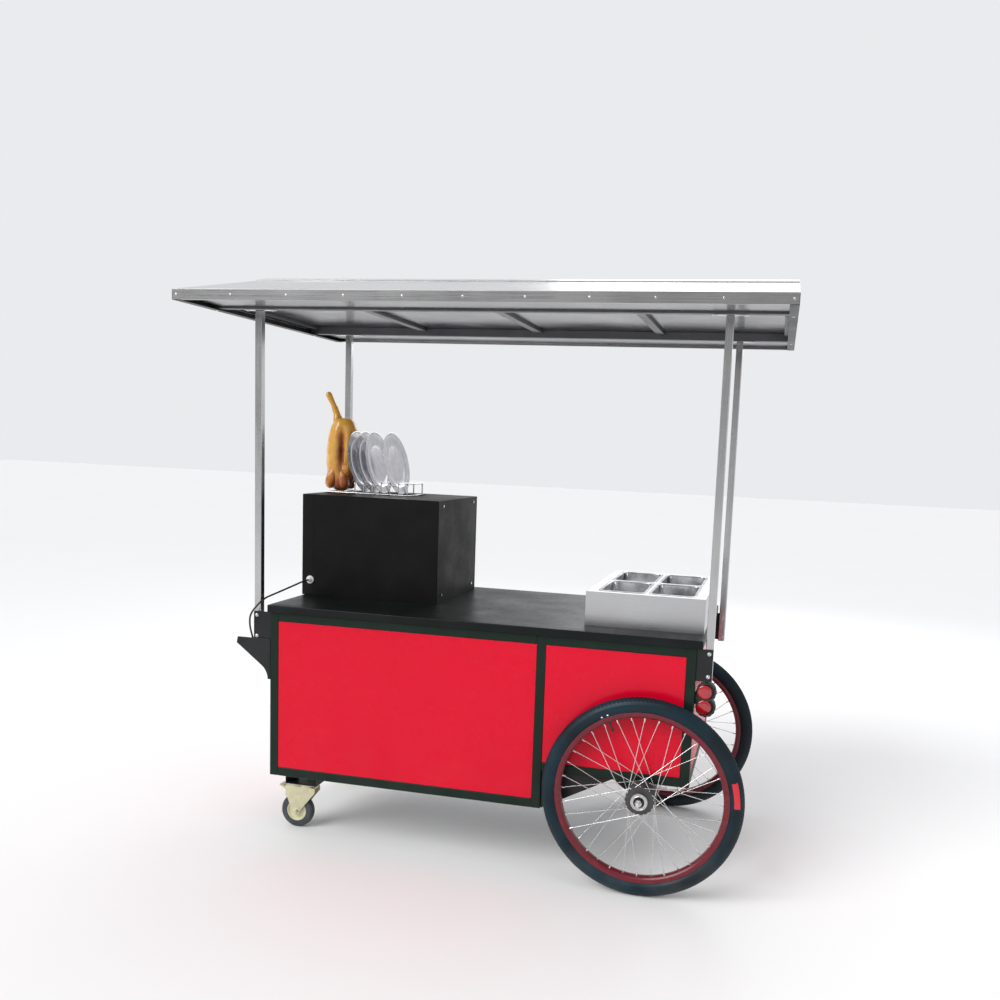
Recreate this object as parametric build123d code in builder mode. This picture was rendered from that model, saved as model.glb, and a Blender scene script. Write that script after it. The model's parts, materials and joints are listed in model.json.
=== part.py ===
"""Push vending cart: cabinet on two spoked wheels and two casters, with a roof, a warmer and a bain-marie.

Millimetres. +X runs along the cart from the push handle to the big wheels, -Y is the customer side and
+Z is up. The origin is on the ground under the middle of the roof.
"""
from build123d import *
import math
import os

os.makedirs("parts", exist_ok=True)

# ---- driving dimensions ------------------------------------------------------------------------
WORKTOP_LENGTH = 1518.0
WORKTOP_DEPTH = 760.0
WORKTOP_TOP = 850.0
WORKTOP_EDGE = 26.0
WORKTOP_SHEET = 1.5

RAIL = 32.0
RAIL_WALL = 1.5
FRAME_LEFT = -752.0
FRAME_RIGHT = 740.0
FRAME_FACE = 370.0
FRAME_BOTTOM = 232.0
RAISED_BOTTOM = 362.0
MULLION_LEFT = 216.0
PANEL = 3.0
PANEL_RECESS = 2.0

WHEEL_X = 592.0
WHEEL_PLANE = 411.5
WHEEL_RADIUS = 330.0
TYRE_HALF_WIDTH = 25.0
RIM_INNER = 264.0
RIM_OUTER = 284.0
RIM_HALF_WIDTH = 17.0
SPOKES_PER_WHEEL = 36
AXLE_RADIUS = 7.5

CASTER_SWIVEL_X = -669.0
CASTER_TRAIL = 35.0
CASTER_Y = 246.0
CASTER_RADIUS = 62.5

POST = 25.0
POST_WALL = 1.5
POST_LEFT = -806.0
POST_RIGHT = 779.0
POST_Y = 348.0
POST_BOTTOM = 716.0
POST_TOP = 1859.0

ROOF_HALF_LENGTH = 980.0
ROOF_HALF_DEPTH = 585.0
ROOF_BOTTOM = 1858.0
FASCIA_HEIGHT = 32.0
ROOF_RIDGE = 2026.0
ROOF_SHEET = 1.2
ROOF_RAIL = 30.0
TIE_POSITIONS = (-955.0, -480.0, 0.0, 480.0, 955.0)

WARMER_LEFT = -766.0
WARMER_RIGHT = -230.0
WARMER_FRONT = -114.0
WARMER_BACK = 329.0
WARMER_HEIGHT = 378.0
WARMER_SHEET = 1.5

BAIN_LEFT = 352.0
BAIN_RIGHT = 752.0
BAIN_FRONT = -264.0
BAIN_BACK = 331.0
BAIN_HEIGHT = 116.0

CORD_RADIUS = 3.25

# Pieces that share a node stand this far apart, so that each stays a solid of its own.
JOINT_GAP = 0.05

# ---- sizes worked out from the driving dimensions ----------------------------------------------
WORKTOP_BOTTOM = WORKTOP_TOP - WORKTOP_EDGE
FRAME_INNER_Y = FRAME_FACE - RAIL
MULLION_RIGHT = MULLION_LEFT + RAIL
BAY_LEFT = FRAME_LEFT + RAIL
BAY_RIGHT = FRAME_RIGHT - RAIL
OPENING_TOP = WORKTOP_BOTTOM - RAIL
LOW_OPENING = FRAME_BOTTOM + RAIL
RAISED_OPENING = RAISED_BOTTOM + RAIL
RAIL_BOTTOM_ROOF = POST_TOP + 3.0
RAIL_TOP_ROOF = RAIL_BOTTOM_ROOF + ROOF_RAIL
ROOF_RAIL_Y = 350.0
EAVE_TOP = ROOF_BOTTOM + FASCIA_HEIGHT
CASTER_AXLE_X = CASTER_SWIVEL_X - CASTER_TRAIL
CASTER_PLATE_TOP = 177.0
WARMER_TOP = WORKTOP_TOP + WARMER_HEIGHT
BAIN_TOP = WORKTOP_TOP + BAIN_HEIGHT
SIDES = (("front", -1), ("rear", 1))


# ---- shape helpers: each adds to, or cuts from, the part being built ----------------------------
def block(x0, x1, y0, y1, z0, z1, mode=Mode.ADD):
    """Rectangular block between two corners."""
    with Locations(((x0 + x1) / 2, (y0 + y1) / 2, (z0 + z1) / 2)):
        Box(x1 - x0, y1 - y0, z1 - z0, mode=mode)


def tube_x(x0, x1, y, z, width, height, wall):
    """Rectangular tube along X, centred on y and z."""
    block(x0, x1, y - width / 2, y + width / 2, z - height / 2, z + height / 2)
    w = width / 2 - wall
    h = height / 2 - wall
    block(x0, x1, y - w, y + w, z - h, z + h, mode=Mode.SUBTRACT)


def tube_y(x, y0, y1, z, width, height, wall):
    """Rectangular tube along Y, centred on x and z."""
    block(x - width / 2, x + width / 2, y0, y1, z - height / 2, z + height / 2)
    w = width / 2 - wall
    h = height / 2 - wall
    block(x - w, x + w, y0, y1, z - h, z + h, mode=Mode.SUBTRACT)


def tube_z(x, y, z0, z1, size, wall):
    """Square tube standing on z0, centred on x and y."""
    block(x - size / 2, x + size / 2, y - size / 2, y + size / 2, z0, z1)
    s = size / 2 - wall
    block(x - s, x + s, y - s, y + s, z0, z1, mode=Mode.SUBTRACT)


def rod_x(x0, x1, y, z, radius, mode=Mode.ADD):
    """Cylinder along X."""
    with BuildSketch(Plane.YZ.offset(x0)) as section:
        with Locations((y, z)):
            Circle(radius)
    extrude(section.sketch, amount=x1 - x0, mode=mode)


def rod_y(x, y0, y1, z, radius, mode=Mode.ADD):
    """Cylinder along Y from y0 to a larger y1."""
    with BuildSketch(Plane.XZ.offset(-y1)) as section:
        with Locations((x, z)):
            Circle(radius)
    extrude(section.sketch, amount=y1 - y0, mode=mode)


def rod_z(x, y, z0, z1, radius, mode=Mode.ADD):
    """Cylinder along Z."""
    with BuildSketch(Plane.XY.offset(z0)) as section:
        with Locations((x, y)):
            Circle(radius)
    extrude(section.sketch, amount=z1 - z0, mode=mode)


def ring_y(x, z, inner, outer, y0, y1):
    """Ring about an axle along Y: a rectangle in the YZ plane carried round the axle."""
    with BuildSketch(Plane.YZ.offset(x)) as section:
        with Locations(((y0 + y1) / 2, z + (inner + outer) / 2)):
            Rectangle(abs(y1 - y0), outer - inner)
    revolve(section.sketch, axis=Axis((x, 0, z), (0, 1, 0)))


def bent_wire(points, radius, bend):
    """Round wire along a route of straight runs with one bend radius at every corner."""
    with BuildLine() as route:
        FilletPolyline(*points, radius=bend)
    with BuildSketch(Plane(origin=route.line @ 0, z_dir=route.line % 0)) as section:
        Circle(radius)
    sweep(section.sketch, path=route.wires()[0])


def outward(side, a, b):
    """The two Y values a and b, measured outwards on a side, in rising order."""
    return tuple(sorted((side * a, side * b)))


def save(part, label):
    """Name a finished piece and write it."""
    part.label = label
    export_step(part, f"parts/{label}.step")


# ---- cabinet frame -----------------------------------------------------------------------------
with BuildPart() as frame_stiles:
    for _, side in SIDES:
        stile_y = side * (FRAME_FACE - RAIL / 2)
        tube_z(FRAME_LEFT + RAIL / 2, stile_y, FRAME_BOTTOM, WORKTOP_BOTTOM, RAIL, RAIL_WALL)
        tube_z(MULLION_LEFT + RAIL / 2, stile_y, FRAME_BOTTOM, WORKTOP_BOTTOM, RAIL, RAIL_WALL)
        tube_z(FRAME_RIGHT - RAIL / 2, stile_y, RAISED_BOTTOM, WORKTOP_BOTTOM, RAIL, RAIL_WALL)
save(frame_stiles.part, "frame_stiles")

CROSS_RAIL = RAIL - 2 * JOINT_GAP
with BuildPart() as frame_rails:
    for _, side in SIDES:
        rail_y = side * (FRAME_FACE - RAIL / 2)
        for bay_x0, bay_x1, low in (
            (BAY_LEFT, MULLION_LEFT, FRAME_BOTTOM),
            (MULLION_RIGHT, BAY_RIGHT, RAISED_BOTTOM),
        ):
            tube_x(bay_x0, bay_x1, rail_y, low + RAIL / 2, RAIL, RAIL, RAIL_WALL)
            tube_x(bay_x0, bay_x1, rail_y, OPENING_TOP + RAIL / 2, RAIL, RAIL, RAIL_WALL)
    for rail_x, rail_z in (
        (FRAME_LEFT + RAIL / 2, FRAME_BOTTOM + RAIL / 2),
        (FRAME_LEFT + RAIL / 2, OPENING_TOP + RAIL / 2),
        (MULLION_LEFT + RAIL / 2, FRAME_BOTTOM + RAIL / 2),
        (MULLION_LEFT + RAIL / 2, RAISED_BOTTOM + RAIL / 2),
        (MULLION_LEFT + RAIL / 2, OPENING_TOP + RAIL / 2),
        (FRAME_RIGHT - RAIL / 2, RAISED_BOTTOM + RAIL / 2),
        (FRAME_RIGHT - RAIL / 2, OPENING_TOP + RAIL / 2),
    ):
        tube_y(rail_x, -FRAME_INNER_Y, FRAME_INNER_Y, rail_z, CROSS_RAIL, RAIL, RAIL_WALL)
save(frame_rails.part, "frame_rails")

# ---- cabinet panels: customer side, operator side and ends ------------------------------------
PANEL_OUTER = FRAME_FACE - PANEL_RECESS
PANEL_INNER = PANEL_OUTER - PANEL
END_GROMMET_Y = -304.0
END_GROMMET_Z = 650.0
with BuildPart() as cabinet_panels:
    block(BAY_LEFT, MULLION_LEFT, -PANEL_OUTER, -PANEL_INNER, LOW_OPENING, OPENING_TOP)
    block(MULLION_RIGHT, BAY_RIGHT, -PANEL_OUTER, -PANEL_INNER, RAISED_OPENING, OPENING_TOP)
    block(MULLION_RIGHT, BAY_RIGHT, PANEL_INNER, PANEL_OUTER, RAISED_OPENING, OPENING_TOP)
    block(
        FRAME_RIGHT - PANEL_RECESS - PANEL, FRAME_RIGHT - PANEL_RECESS,
        -FRAME_INNER_Y, FRAME_INNER_Y, RAISED_OPENING, OPENING_TOP,
    )
    block(
        FRAME_LEFT + PANEL_RECESS, FRAME_LEFT + PANEL_RECESS + PANEL,
        -FRAME_INNER_Y, FRAME_INNER_Y, LOW_OPENING, OPENING_TOP,
    )
    rod_x(FRAME_LEFT - 5, FRAME_LEFT + 10, END_GROMMET_Y, END_GROMMET_Z, 8.0, mode=Mode.SUBTRACT)
save(cabinet_panels.part, "cabinet_panels")

FLOOR_SHEET = 2.0
with BuildPart() as floor_sheets:
    block(BAY_LEFT, MULLION_LEFT, -FRAME_INNER_Y, FRAME_INNER_Y, LOW_OPENING - FLOOR_SHEET, LOW_OPENING)
    block(
        MULLION_RIGHT - FLOOR_SHEET, MULLION_RIGHT - JOINT_GAP,
        -FRAME_INNER_Y, FRAME_INNER_Y, LOW_OPENING, RAISED_BOTTOM,
    )
    block(
        MULLION_RIGHT, BAY_RIGHT,
        -FRAME_INNER_Y, FRAME_INNER_Y, RAISED_OPENING - FLOOR_SHEET, RAISED_OPENING,
    )
save(floor_sheets.part, "floor_sheets")

# ---- worktop: a folded steel skin over a board -------------------------------------------------
HALF_L = WORKTOP_LENGTH / 2
HALF_D = WORKTOP_DEPTH / 2
with BuildPart() as worktop_skin:
    block(-HALF_L, HALF_L, -HALF_D, HALF_D, WORKTOP_BOTTOM, WORKTOP_TOP)
    inner_l = HALF_L - WORKTOP_SHEET
    inner_d = HALF_D - WORKTOP_SHEET
    block(
        -inner_l, inner_l, -inner_d, inner_d,
        WORKTOP_BOTTOM, WORKTOP_TOP - WORKTOP_SHEET, mode=Mode.SUBTRACT,
    )
save(worktop_skin.part, "worktop_skin")
with BuildPart() as worktop_board:
    block(-inner_l, inner_l, -inner_d, inner_d, WORKTOP_BOTTOM, WORKTOP_TOP - WORKTOP_SHEET)
save(worktop_board.part, "worktop_board")

# ---- rear doors, on lift-off hinges: the frame's halves carry the pins ---------------------------
DOOR_THICKNESS = 18.0
DOOR_GAP = 2.0
DOOR_PIN_Y = 375.0
DOOR_PIN_RADIUS = 2.5
KNUCKLE_RADIUS = 4.5
KNUCKLE_HEIGHT = 20.0
LEAF_WIDTH = 26.0
LEAF_THICKNESS = 2.0
DOOR_HINGE_Z = (360.0, 700.0)
DOOR_MEETING_X = -252.0
DOOR_Y1 = FRAME_FACE - 2.0
DOOR_Y0 = DOOR_Y1 - DOOR_THICKNESS
DOOR_SKIN = 1.5
PULL_Z = (590.0, 710.0)
PULL_STAND = 32.0
PULL_RADIUS = 4.0
PULL_BEND = 9.0
DOORS = (
    ("left", BAY_LEFT + DOOR_GAP, DOOR_MEETING_X - DOOR_GAP / 2, BAY_LEFT + 1.0, -1),
    ("right", DOOR_MEETING_X + DOOR_GAP / 2, MULLION_LEFT - DOOR_GAP, MULLION_LEFT - 1.0, 1),
)
for name, door_x0, door_x1, pin_x, hinge_side in DOORS:
    with BuildPart() as door:
        block(door_x0, door_x1, DOOR_Y0, DOOR_Y1, LOW_OPENING + DOOR_GAP, OPENING_TOP - DOOR_GAP)
        block(
            door_x0 + DOOR_SKIN, door_x1 - DOOR_SKIN, DOOR_Y0, DOOR_Y1 - DOOR_SKIN,
            LOW_OPENING + DOOR_GAP + DOOR_SKIN, OPENING_TOP - DOOR_GAP - DOOR_SKIN, mode=Mode.SUBTRACT,
        )
    save(door.part, f"door_{name}")

    pull_x = door_x1 - 40.0 if hinge_side < 0 else door_x0 + 40.0
    with BuildPart() as door_fittings:
        bent_wire(
            [
                (pull_x, DOOR_Y1, PULL_Z[0]),
                (pull_x, DOOR_Y1 + PULL_STAND, PULL_Z[0]),
                (pull_x, DOOR_Y1 + PULL_STAND, PULL_Z[1]),
                (pull_x, DOOR_Y1, PULL_Z[1]),
            ],
            PULL_RADIUS, PULL_BEND,
        )
        for hinge_z in DOOR_HINGE_Z:
            top_z = hinge_z + KNUCKLE_HEIGHT
            leaf_x = sorted((pin_x, pin_x - hinge_side * LEAF_WIDTH))
            block(leaf_x[0], leaf_x[1], DOOR_Y1, DOOR_Y1 + LEAF_THICKNESS, hinge_z, top_z)
            web_x = sorted((pin_x, pin_x - hinge_side * 4.0))
            block(web_x[0], web_x[1], DOOR_Y1, DOOR_PIN_Y, hinge_z, top_z)
            rod_z(pin_x, DOOR_PIN_Y, hinge_z, top_z, KNUCKLE_RADIUS)
            rod_z(
                pin_x, DOOR_PIN_Y, hinge_z - 1.0, top_z + 1.0, DOOR_PIN_RADIUS + 0.05,
                mode=Mode.SUBTRACT,
            )
    save(door_fittings.part, f"door_{name}_fittings")

# ---- roof posts and the brackets that hold them ------------------------------------------------
POSTS = (
    (POST_LEFT, -1, FRAME_LEFT, -1),
    (POST_RIGHT, -1, FRAME_RIGHT, 1),
    (POST_LEFT, 1, FRAME_LEFT, -1),
    (POST_RIGHT, 1, FRAME_RIGHT, 1),
)
BRACKET_PLATE = 4.0
BRACKET_Z0 = 718.0
BRACKET_Z1 = 822.0
BRACKET_DEPTH = 52.0
BOLT_Z = (734.0, 808.0)
POST_FACE_Y = POST_Y + POST / 2
TOP_PLATE_LENGTH = 112.0
TOP_PLATE_WIDTH = 28.0
TOP_PLATE = 3.0
with BuildPart() as roof_posts:
    for post_x, side, _, _ in POSTS:
        tube_z(post_x, side * POST_Y, POST_BOTTOM, POST_TOP, POST, POST_WALL)
        block(
            post_x - TOP_PLATE_LENGTH / 2, post_x + TOP_PLATE_LENGTH / 2,
            side * POST_Y - TOP_PLATE_WIDTH / 2, side * POST_Y + TOP_PLATE_WIDTH / 2,
            POST_TOP, POST_TOP + TOP_PLATE,
        )
save(roof_posts.part, "roof_posts")

# The step in the cabinet's bottom is braced by a triangular gusset on each face.
GUSSET_THICKNESS = 4.0
GUSSET_LENGTH = 242.0
GUSSET_SETBACK = 8.0
with BuildPart() as bracket_plates:
    for post_x, side, frame_x, end in POSTS:
        flange_x = sorted((frame_x, post_x + end * POST / 2))
        flange_y = outward(side, POST_FACE_Y, POST_FACE_Y + BRACKET_PLATE)
        block(flange_x[0], flange_x[1], flange_y[0], flange_y[1], BRACKET_Z0, BRACKET_Z1)
        foot_x = sorted((frame_x, frame_x + end * BRACKET_PLATE))
        foot_y = outward(side, POST_FACE_Y + BRACKET_PLATE, POST_FACE_Y + BRACKET_PLATE - BRACKET_DEPTH)
        block(foot_x[0], foot_x[1], foot_y[0], foot_y[1], BRACKET_Z0, BRACKET_Z1)
    for _, side in SIDES:
        gusset_y = outward(
            side, FRAME_FACE - GUSSET_SETBACK, FRAME_FACE - GUSSET_SETBACK - GUSSET_THICKNESS)
        with BuildSketch(Plane.XZ.offset(-gusset_y[1])):
            with BuildLine():
                Polyline(
                    (MULLION_RIGHT, FRAME_BOTTOM),
                    (MULLION_RIGHT, RAISED_BOTTOM),
                    (MULLION_RIGHT + GUSSET_LENGTH, RAISED_BOTTOM),
                    close=True,
                )
            make_face()
        extrude(amount=GUSSET_THICKNESS)
save(bracket_plates.part, "bracket_plates")

# ---- roof --------------------------------------------------------------------------------------
ROOF_END = ROOF_HALF_LENGTH - ROOF_SHEET
INNER_END = ROOF_END - 5.0
RAIL_IN = ROOF_RAIL_Y - ROOF_RAIL / 2
RAIL_OUT = ROOF_RAIL_Y + ROOF_RAIL / 2
FASCIA_IN = ROOF_HALF_DEPTH - ROOF_SHEET
EAVE_SOFFIT_Z = ROOF_BOTTOM + 10.0
TIE_DEPTH = 12.0
with BuildPart() as roof_frame:
    for _, side in SIDES:
        tube_x(
            -INNER_END, INNER_END, side * ROOF_RAIL_Y,
            (RAIL_BOTTOM_ROOF + RAIL_TOP_ROOF) / 2, ROOF_RAIL, ROOF_RAIL, 1.5,
        )
    for tie_x in TIE_POSITIONS:
        tie_end = RAIL_IN - JOINT_GAP
        block(tie_x - 15, tie_x + 15, -tie_end, tie_end, RAIL_TOP_ROOF - TIE_DEPTH, RAIL_TOP_ROOF)
        for _, side in SIDES:
            tie_y = outward(side, RAIL_OUT + JOINT_GAP, FASCIA_IN - 0.5)
            block(
                tie_x - 12, tie_x + 12, tie_y[0], tie_y[1],
                EAVE_SOFFIT_Z + ROOF_SHEET, EAVE_TOP - 1.0,
            )
save(roof_frame.part, "roof_frame")

with BuildPart() as roof_ceiling:
    block(-INNER_END, INNER_END, -RAIL_OUT, RAIL_OUT, RAIL_TOP_ROOF, RAIL_TOP_ROOF + ROOF_SHEET)
    for _, side in SIDES:
        soffit_y = outward(side, RAIL_OUT, FASCIA_IN)
        block(
            -INNER_END, INNER_END, soffit_y[0], soffit_y[1],
            EAVE_SOFFIT_Z, EAVE_SOFFIT_Z + ROOF_SHEET,
        )
save(roof_ceiling.part, "roof_ceiling")

FASCIA_LIP = 12.0
with BuildPart() as fascias:
    for _, side in SIDES:
        face_y = outward(side, FASCIA_IN, ROOF_HALF_DEPTH)
        block(-ROOF_END, ROOF_END, face_y[0], face_y[1], ROOF_BOTTOM, EAVE_TOP)
        lip_y = outward(side, FASCIA_IN - FASCIA_LIP, FASCIA_IN)
        block(-ROOF_END, ROOF_END, lip_y[0], lip_y[1], ROOF_BOTTOM, ROOF_BOTTOM + ROOF_SHEET)
save(fascias.part, "fascias")

# Each pitched sheet runs from the eave to just short of the ridge line, where the cap covers both.
RIDGE_GAP = 1.0
CAP_THICKNESS = 4.5
CAP_HALF_WIDTH = 82.0
SHEET_RIDGE = ROOF_RIDGE - 6.0
PITCH = (SHEET_RIDGE - EAVE_TOP) / (ROOF_HALF_DEPTH - RIDGE_GAP)
CAP_PEAK = SHEET_RIDGE + ROOF_SHEET + PITCH * RIDGE_GAP + JOINT_GAP
CAP_EDGE_Z = CAP_PEAK - PITCH * CAP_HALF_WIDTH
GABLE_HALF = FASCIA_IN - 4.0
with BuildPart() as roof_sheets:
    for _, side in SIDES:
        with BuildSketch(Plane.YZ.offset(-ROOF_END)):
            with BuildLine():
                Polyline(
                    (side * ROOF_HALF_DEPTH, EAVE_TOP),
                    (side * ROOF_HALF_DEPTH, EAVE_TOP + ROOF_SHEET),
                    (side * RIDGE_GAP, SHEET_RIDGE + ROOF_SHEET),
                    (side * RIDGE_GAP, SHEET_RIDGE),
                    close=True,
                )
            make_face()
        extrude(amount=2 * ROOF_END)
    with BuildSketch(Plane.YZ.offset(-ROOF_END)):
        with BuildLine():
            Polyline(
                (-CAP_HALF_WIDTH, CAP_EDGE_Z),
                (-CAP_HALF_WIDTH, CAP_EDGE_Z + CAP_THICKNESS),
                (0, CAP_PEAK + CAP_THICKNESS),
                (CAP_HALF_WIDTH, CAP_EDGE_Z + CAP_THICKNESS),
                (CAP_HALF_WIDTH, CAP_EDGE_Z),
                (0, CAP_PEAK),
                close=True,
            )
        make_face()
    extrude(amount=2 * ROOF_END)
    for start_x in (-ROOF_END, ROOF_END - ROOF_SHEET):
        with BuildSketch(Plane.YZ.offset(start_x)):
            with BuildLine():
                Polyline(
                    (-GABLE_HALF, EAVE_TOP - 12.0),
                    (GABLE_HALF, EAVE_TOP - 12.0),
                    (GABLE_HALF, EAVE_TOP),
                    (RIDGE_GAP, SHEET_RIDGE - 1.0),
                    (-RIDGE_GAP, SHEET_RIDGE - 1.0),
                    (-GABLE_HALF, EAVE_TOP),
                    close=True,
                )
            make_face()
        extrude(amount=ROOF_SHEET)
save(roof_sheets.part, "roof_sheets")

# Black end trims: an upright strip closing the roof's end and a flange turned in under it.
TRIM_FLANGE = 27.0
with BuildPart() as end_trims:
    for end in (-1, 1):
        upright_x = sorted((end * ROOF_END, end * ROOF_HALF_LENGTH))
        block(
            upright_x[0], upright_x[1], -ROOF_HALF_DEPTH, ROOF_HALF_DEPTH,
            ROOF_BOTTOM - ROOF_SHEET, EAVE_TOP,
        )
        flange_x = sorted((end * (ROOF_HALF_LENGTH - TRIM_FLANGE), end * ROOF_END))
        block(
            flange_x[0], flange_x[1], -ROOF_HALF_DEPTH, ROOF_HALF_DEPTH,
            ROOF_BOTTOM - ROOF_SHEET, ROOF_BOTTOM,
        )
save(end_trims.part, "end_trims")

# ---- push handle -------------------------------------------------------------------------------
HANDLE_TIP = -883.0
HANDLE_TOP = 726.0
HANDLE_PLATE = 4.0
BAR_X = -852.0
BAR_Z = 703.0
BAR_RADIUS = 12.5
HANDLE_FOOT_Z = (600.0, 708.0)
with BuildPart() as handle_brackets:
    for _, side in SIDES:
        web_y = outward(side, FRAME_FACE, FRAME_FACE - HANDLE_PLATE)
        with BuildSketch(Plane.XZ.offset(-web_y[1])):
            with BuildLine():
                lower = Line((HANDLE_TIP, 704.0), (-786.0, 630.0))
                curve = JernArc(start=lower @ 1, tangent=lower % 1, radius=62.0, arc_size=-52.0)
                Polyline(
                    curve @ 1,
                    (FRAME_LEFT, (curve @ 1).Y),
                    (FRAME_LEFT, HANDLE_TOP),
                    (HANDLE_TIP + 4.0, HANDLE_TOP),
                    (HANDLE_TIP, 704.0),
                )
            make_face()
        extrude(amount=HANDLE_PLATE)
        foot_y = outward(side, FRAME_FACE - HANDLE_PLATE, FRAME_FACE - 50.0)
        block(
            FRAME_LEFT - HANDLE_PLATE, FRAME_LEFT, foot_y[0], foot_y[1],
            HANDLE_FOOT_Z[0], HANDLE_FOOT_Z[1],
        )
save(handle_brackets.part, "handle_brackets")

with BuildPart() as push_bar:
    bar_end = FRAME_FACE - HANDLE_PLATE
    rod_y(BAR_X, -bar_end, bar_end, BAR_Z, BAR_RADIUS)
    rod_y(BAR_X, -bar_end, bar_end, BAR_Z, BAR_RADIUS - 1.5, mode=Mode.SUBTRACT)
save(push_bar.part, "push_bar")

# ---- axle beam and wheels ----------------------------------------------------------------------
BEAM = 40.0
BEAM_END = 365.0
with BuildPart() as axle_beam:
    tube_y(WHEEL_X, -BEAM_END, BEAM_END, WHEEL_RADIUS, BEAM, BEAM, 3.0)
    for _, side in SIDES:
        plug_y = outward(side, BEAM_END - 60.0, BEAM_END)
        block(
            WHEEL_X - BEAM / 2 + 3, WHEEL_X + BEAM / 2 - 3, plug_y[0], plug_y[1],
            WHEEL_RADIUS - BEAM / 2 + 3, WHEEL_RADIUS + BEAM / 2 - 3,
        )
        rod_y(WHEEL_X, plug_y[0], plug_y[1], WHEEL_RADIUS, AXLE_RADIUS, mode=Mode.SUBTRACT)
    for _, side in SIDES:
        packer_y = outward(side, FRAME_INNER_Y, FRAME_FACE - 5.0)
        block(
            WHEEL_X - 32, WHEEL_X + 32, packer_y[0], packer_y[1],
            WHEEL_RADIUS + BEAM / 2, RAISED_BOTTOM,
        )
save(axle_beam.part, "axle_beam")

HUB_HALF = 40.0
FLANGE_OFFSET = 31.0
FLANGE_RADIUS = 48.0
FLANGE_HALF = 2.0
SPOKE_CIRCLE = 46.0
SPOKE_RADIUS = 1.3
BEARING_OUTER = 17.5
HUB_RING = 10.0
AXLE_END = 78.0
SPOKE_STEP = 360.0 / (SPOKES_PER_WHEEL / 2)
with BuildPart() as stub_axles:
    for _, side in SIDES:
        axle_y = outward(side, BEAM_END - 60.0, WHEEL_PLANE + AXLE_END)
        rod_y(WHEEL_X, axle_y[0], axle_y[1], WHEEL_RADIUS, AXLE_RADIUS)
        nut_y = outward(side, WHEEL_PLANE + 52.0, WHEEL_PLANE + 63.0)
        with BuildSketch(Plane.XZ.offset(-nut_y[1])):
            with Locations((WHEEL_X, WHEEL_RADIUS)):
                RegularPolygon(12.7, 6)
                Circle(AXLE_RADIUS + JOINT_GAP, mode=Mode.SUBTRACT)
        extrude(amount=nut_y[1] - nut_y[0])
save(stub_axles.part, "stub_axles")

for name, side in SIDES:
    plane_y = side * WHEEL_PLANE

    with BuildPart() as tyre:
        with BuildSketch(Plane.YZ.offset(WHEEL_X)):
            crown = WHEEL_RADIUS + 303.0
            with Locations((plane_y, crown)):
                Ellipse(TYRE_HALF_WIDTH, 27.0)
            with Locations((plane_y, WHEEL_RADIUS + RIM_OUTER - 20.0)):
                Rectangle(2 * RIM_HALF_WIDTH, 40.0, mode=Mode.SUBTRACT)
            with Locations((plane_y, crown)):
                Ellipse(20.5, 20.5, mode=Mode.SUBTRACT)
        revolve(axis=Axis((WHEEL_X, 0, WHEEL_RADIUS), (0, 1, 0)))
    save(tyre.part, f"tyre_{name}")

    with BuildPart() as rim:
        ring_y(WHEEL_X, WHEEL_RADIUS, RIM_INNER, RIM_INNER + 3.0,
               plane_y - RIM_HALF_WIDTH, plane_y + RIM_HALF_WIDTH)
        for wall in (-1, 1):
            wall_y = sorted((plane_y + wall * (RIM_HALF_WIDTH - 3.0), plane_y + wall * RIM_HALF_WIDTH))
            ring_y(WHEEL_X, WHEEL_RADIUS, RIM_INNER, RIM_OUTER, wall_y[0], wall_y[1])
    save(rim.part, f"rim_{name}")

    with BuildPart() as hub:
        ring_y(WHEEL_X, WHEEL_RADIUS, BEARING_OUTER, 26.0, plane_y - HUB_HALF, plane_y + HUB_HALF)
        for flange in (-1, 1):
            flange_y = plane_y + flange * FLANGE_OFFSET
            ring_y(WHEEL_X, WHEEL_RADIUS, 25.0, FLANGE_RADIUS, flange_y - FLANGE_HALF, flange_y + FLANGE_HALF)
        for bearing in (-1, 1):
            bearing_y = plane_y + bearing * (HUB_HALF - 6.0)
            ring_y(
                WHEEL_X, WHEEL_RADIUS, AXLE_RADIUS + 0.05, BEARING_OUTER - JOINT_GAP,
                bearing_y - 5.5, bearing_y + 5.5,
            )
        ring_start = WHEEL_PLANE + HUB_HALF + JOINT_GAP
        ring_span = outward(side, ring_start, ring_start + HUB_RING)
        ring_y(WHEEL_X, WHEEL_RADIUS, 18.0, 28.0, ring_span[0], ring_span[1])
    save(hub.part, f"hub_{name}")

    # Crossed lacing: every hole pair leaves the hub one way on the flange's outer face and the other
    # way on its inner face, and meets the rim 60 degrees further round.
    with BuildPart() as spokes:
        for index in range(SPOKES_PER_WHEEL):
            flange = -1 if index % 2 else 1
            turn = 1 if index % 4 < 2 else -1
            hub_angle = math.radians((index // 2) * SPOKE_STEP + (SPOKE_STEP / 2 if flange < 0 else 0))
            rim_angle = hub_angle + turn * math.radians(60.0)
            start = Vector(
                WHEEL_X + SPOKE_CIRCLE * math.cos(hub_angle),
                plane_y + flange * FLANGE_OFFSET + turn * (FLANGE_HALF + SPOKE_RADIUS + 0.6),
                WHEEL_RADIUS + SPOKE_CIRCLE * math.sin(hub_angle),
            )
            finish = Vector(
                WHEEL_X + (RIM_INNER - 0.5) * math.cos(rim_angle),
                plane_y + flange * 5.0 + turn * 2.0,
                WHEEL_RADIUS + (RIM_INNER - 0.5) * math.sin(rim_angle),
            )
            run = finish - start
            with BuildSketch(Plane(origin=start, z_dir=run)):
                Circle(SPOKE_RADIUS)
            extrude(amount=run.length)
    save(spokes.part, f"spokes_{name}")

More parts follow.
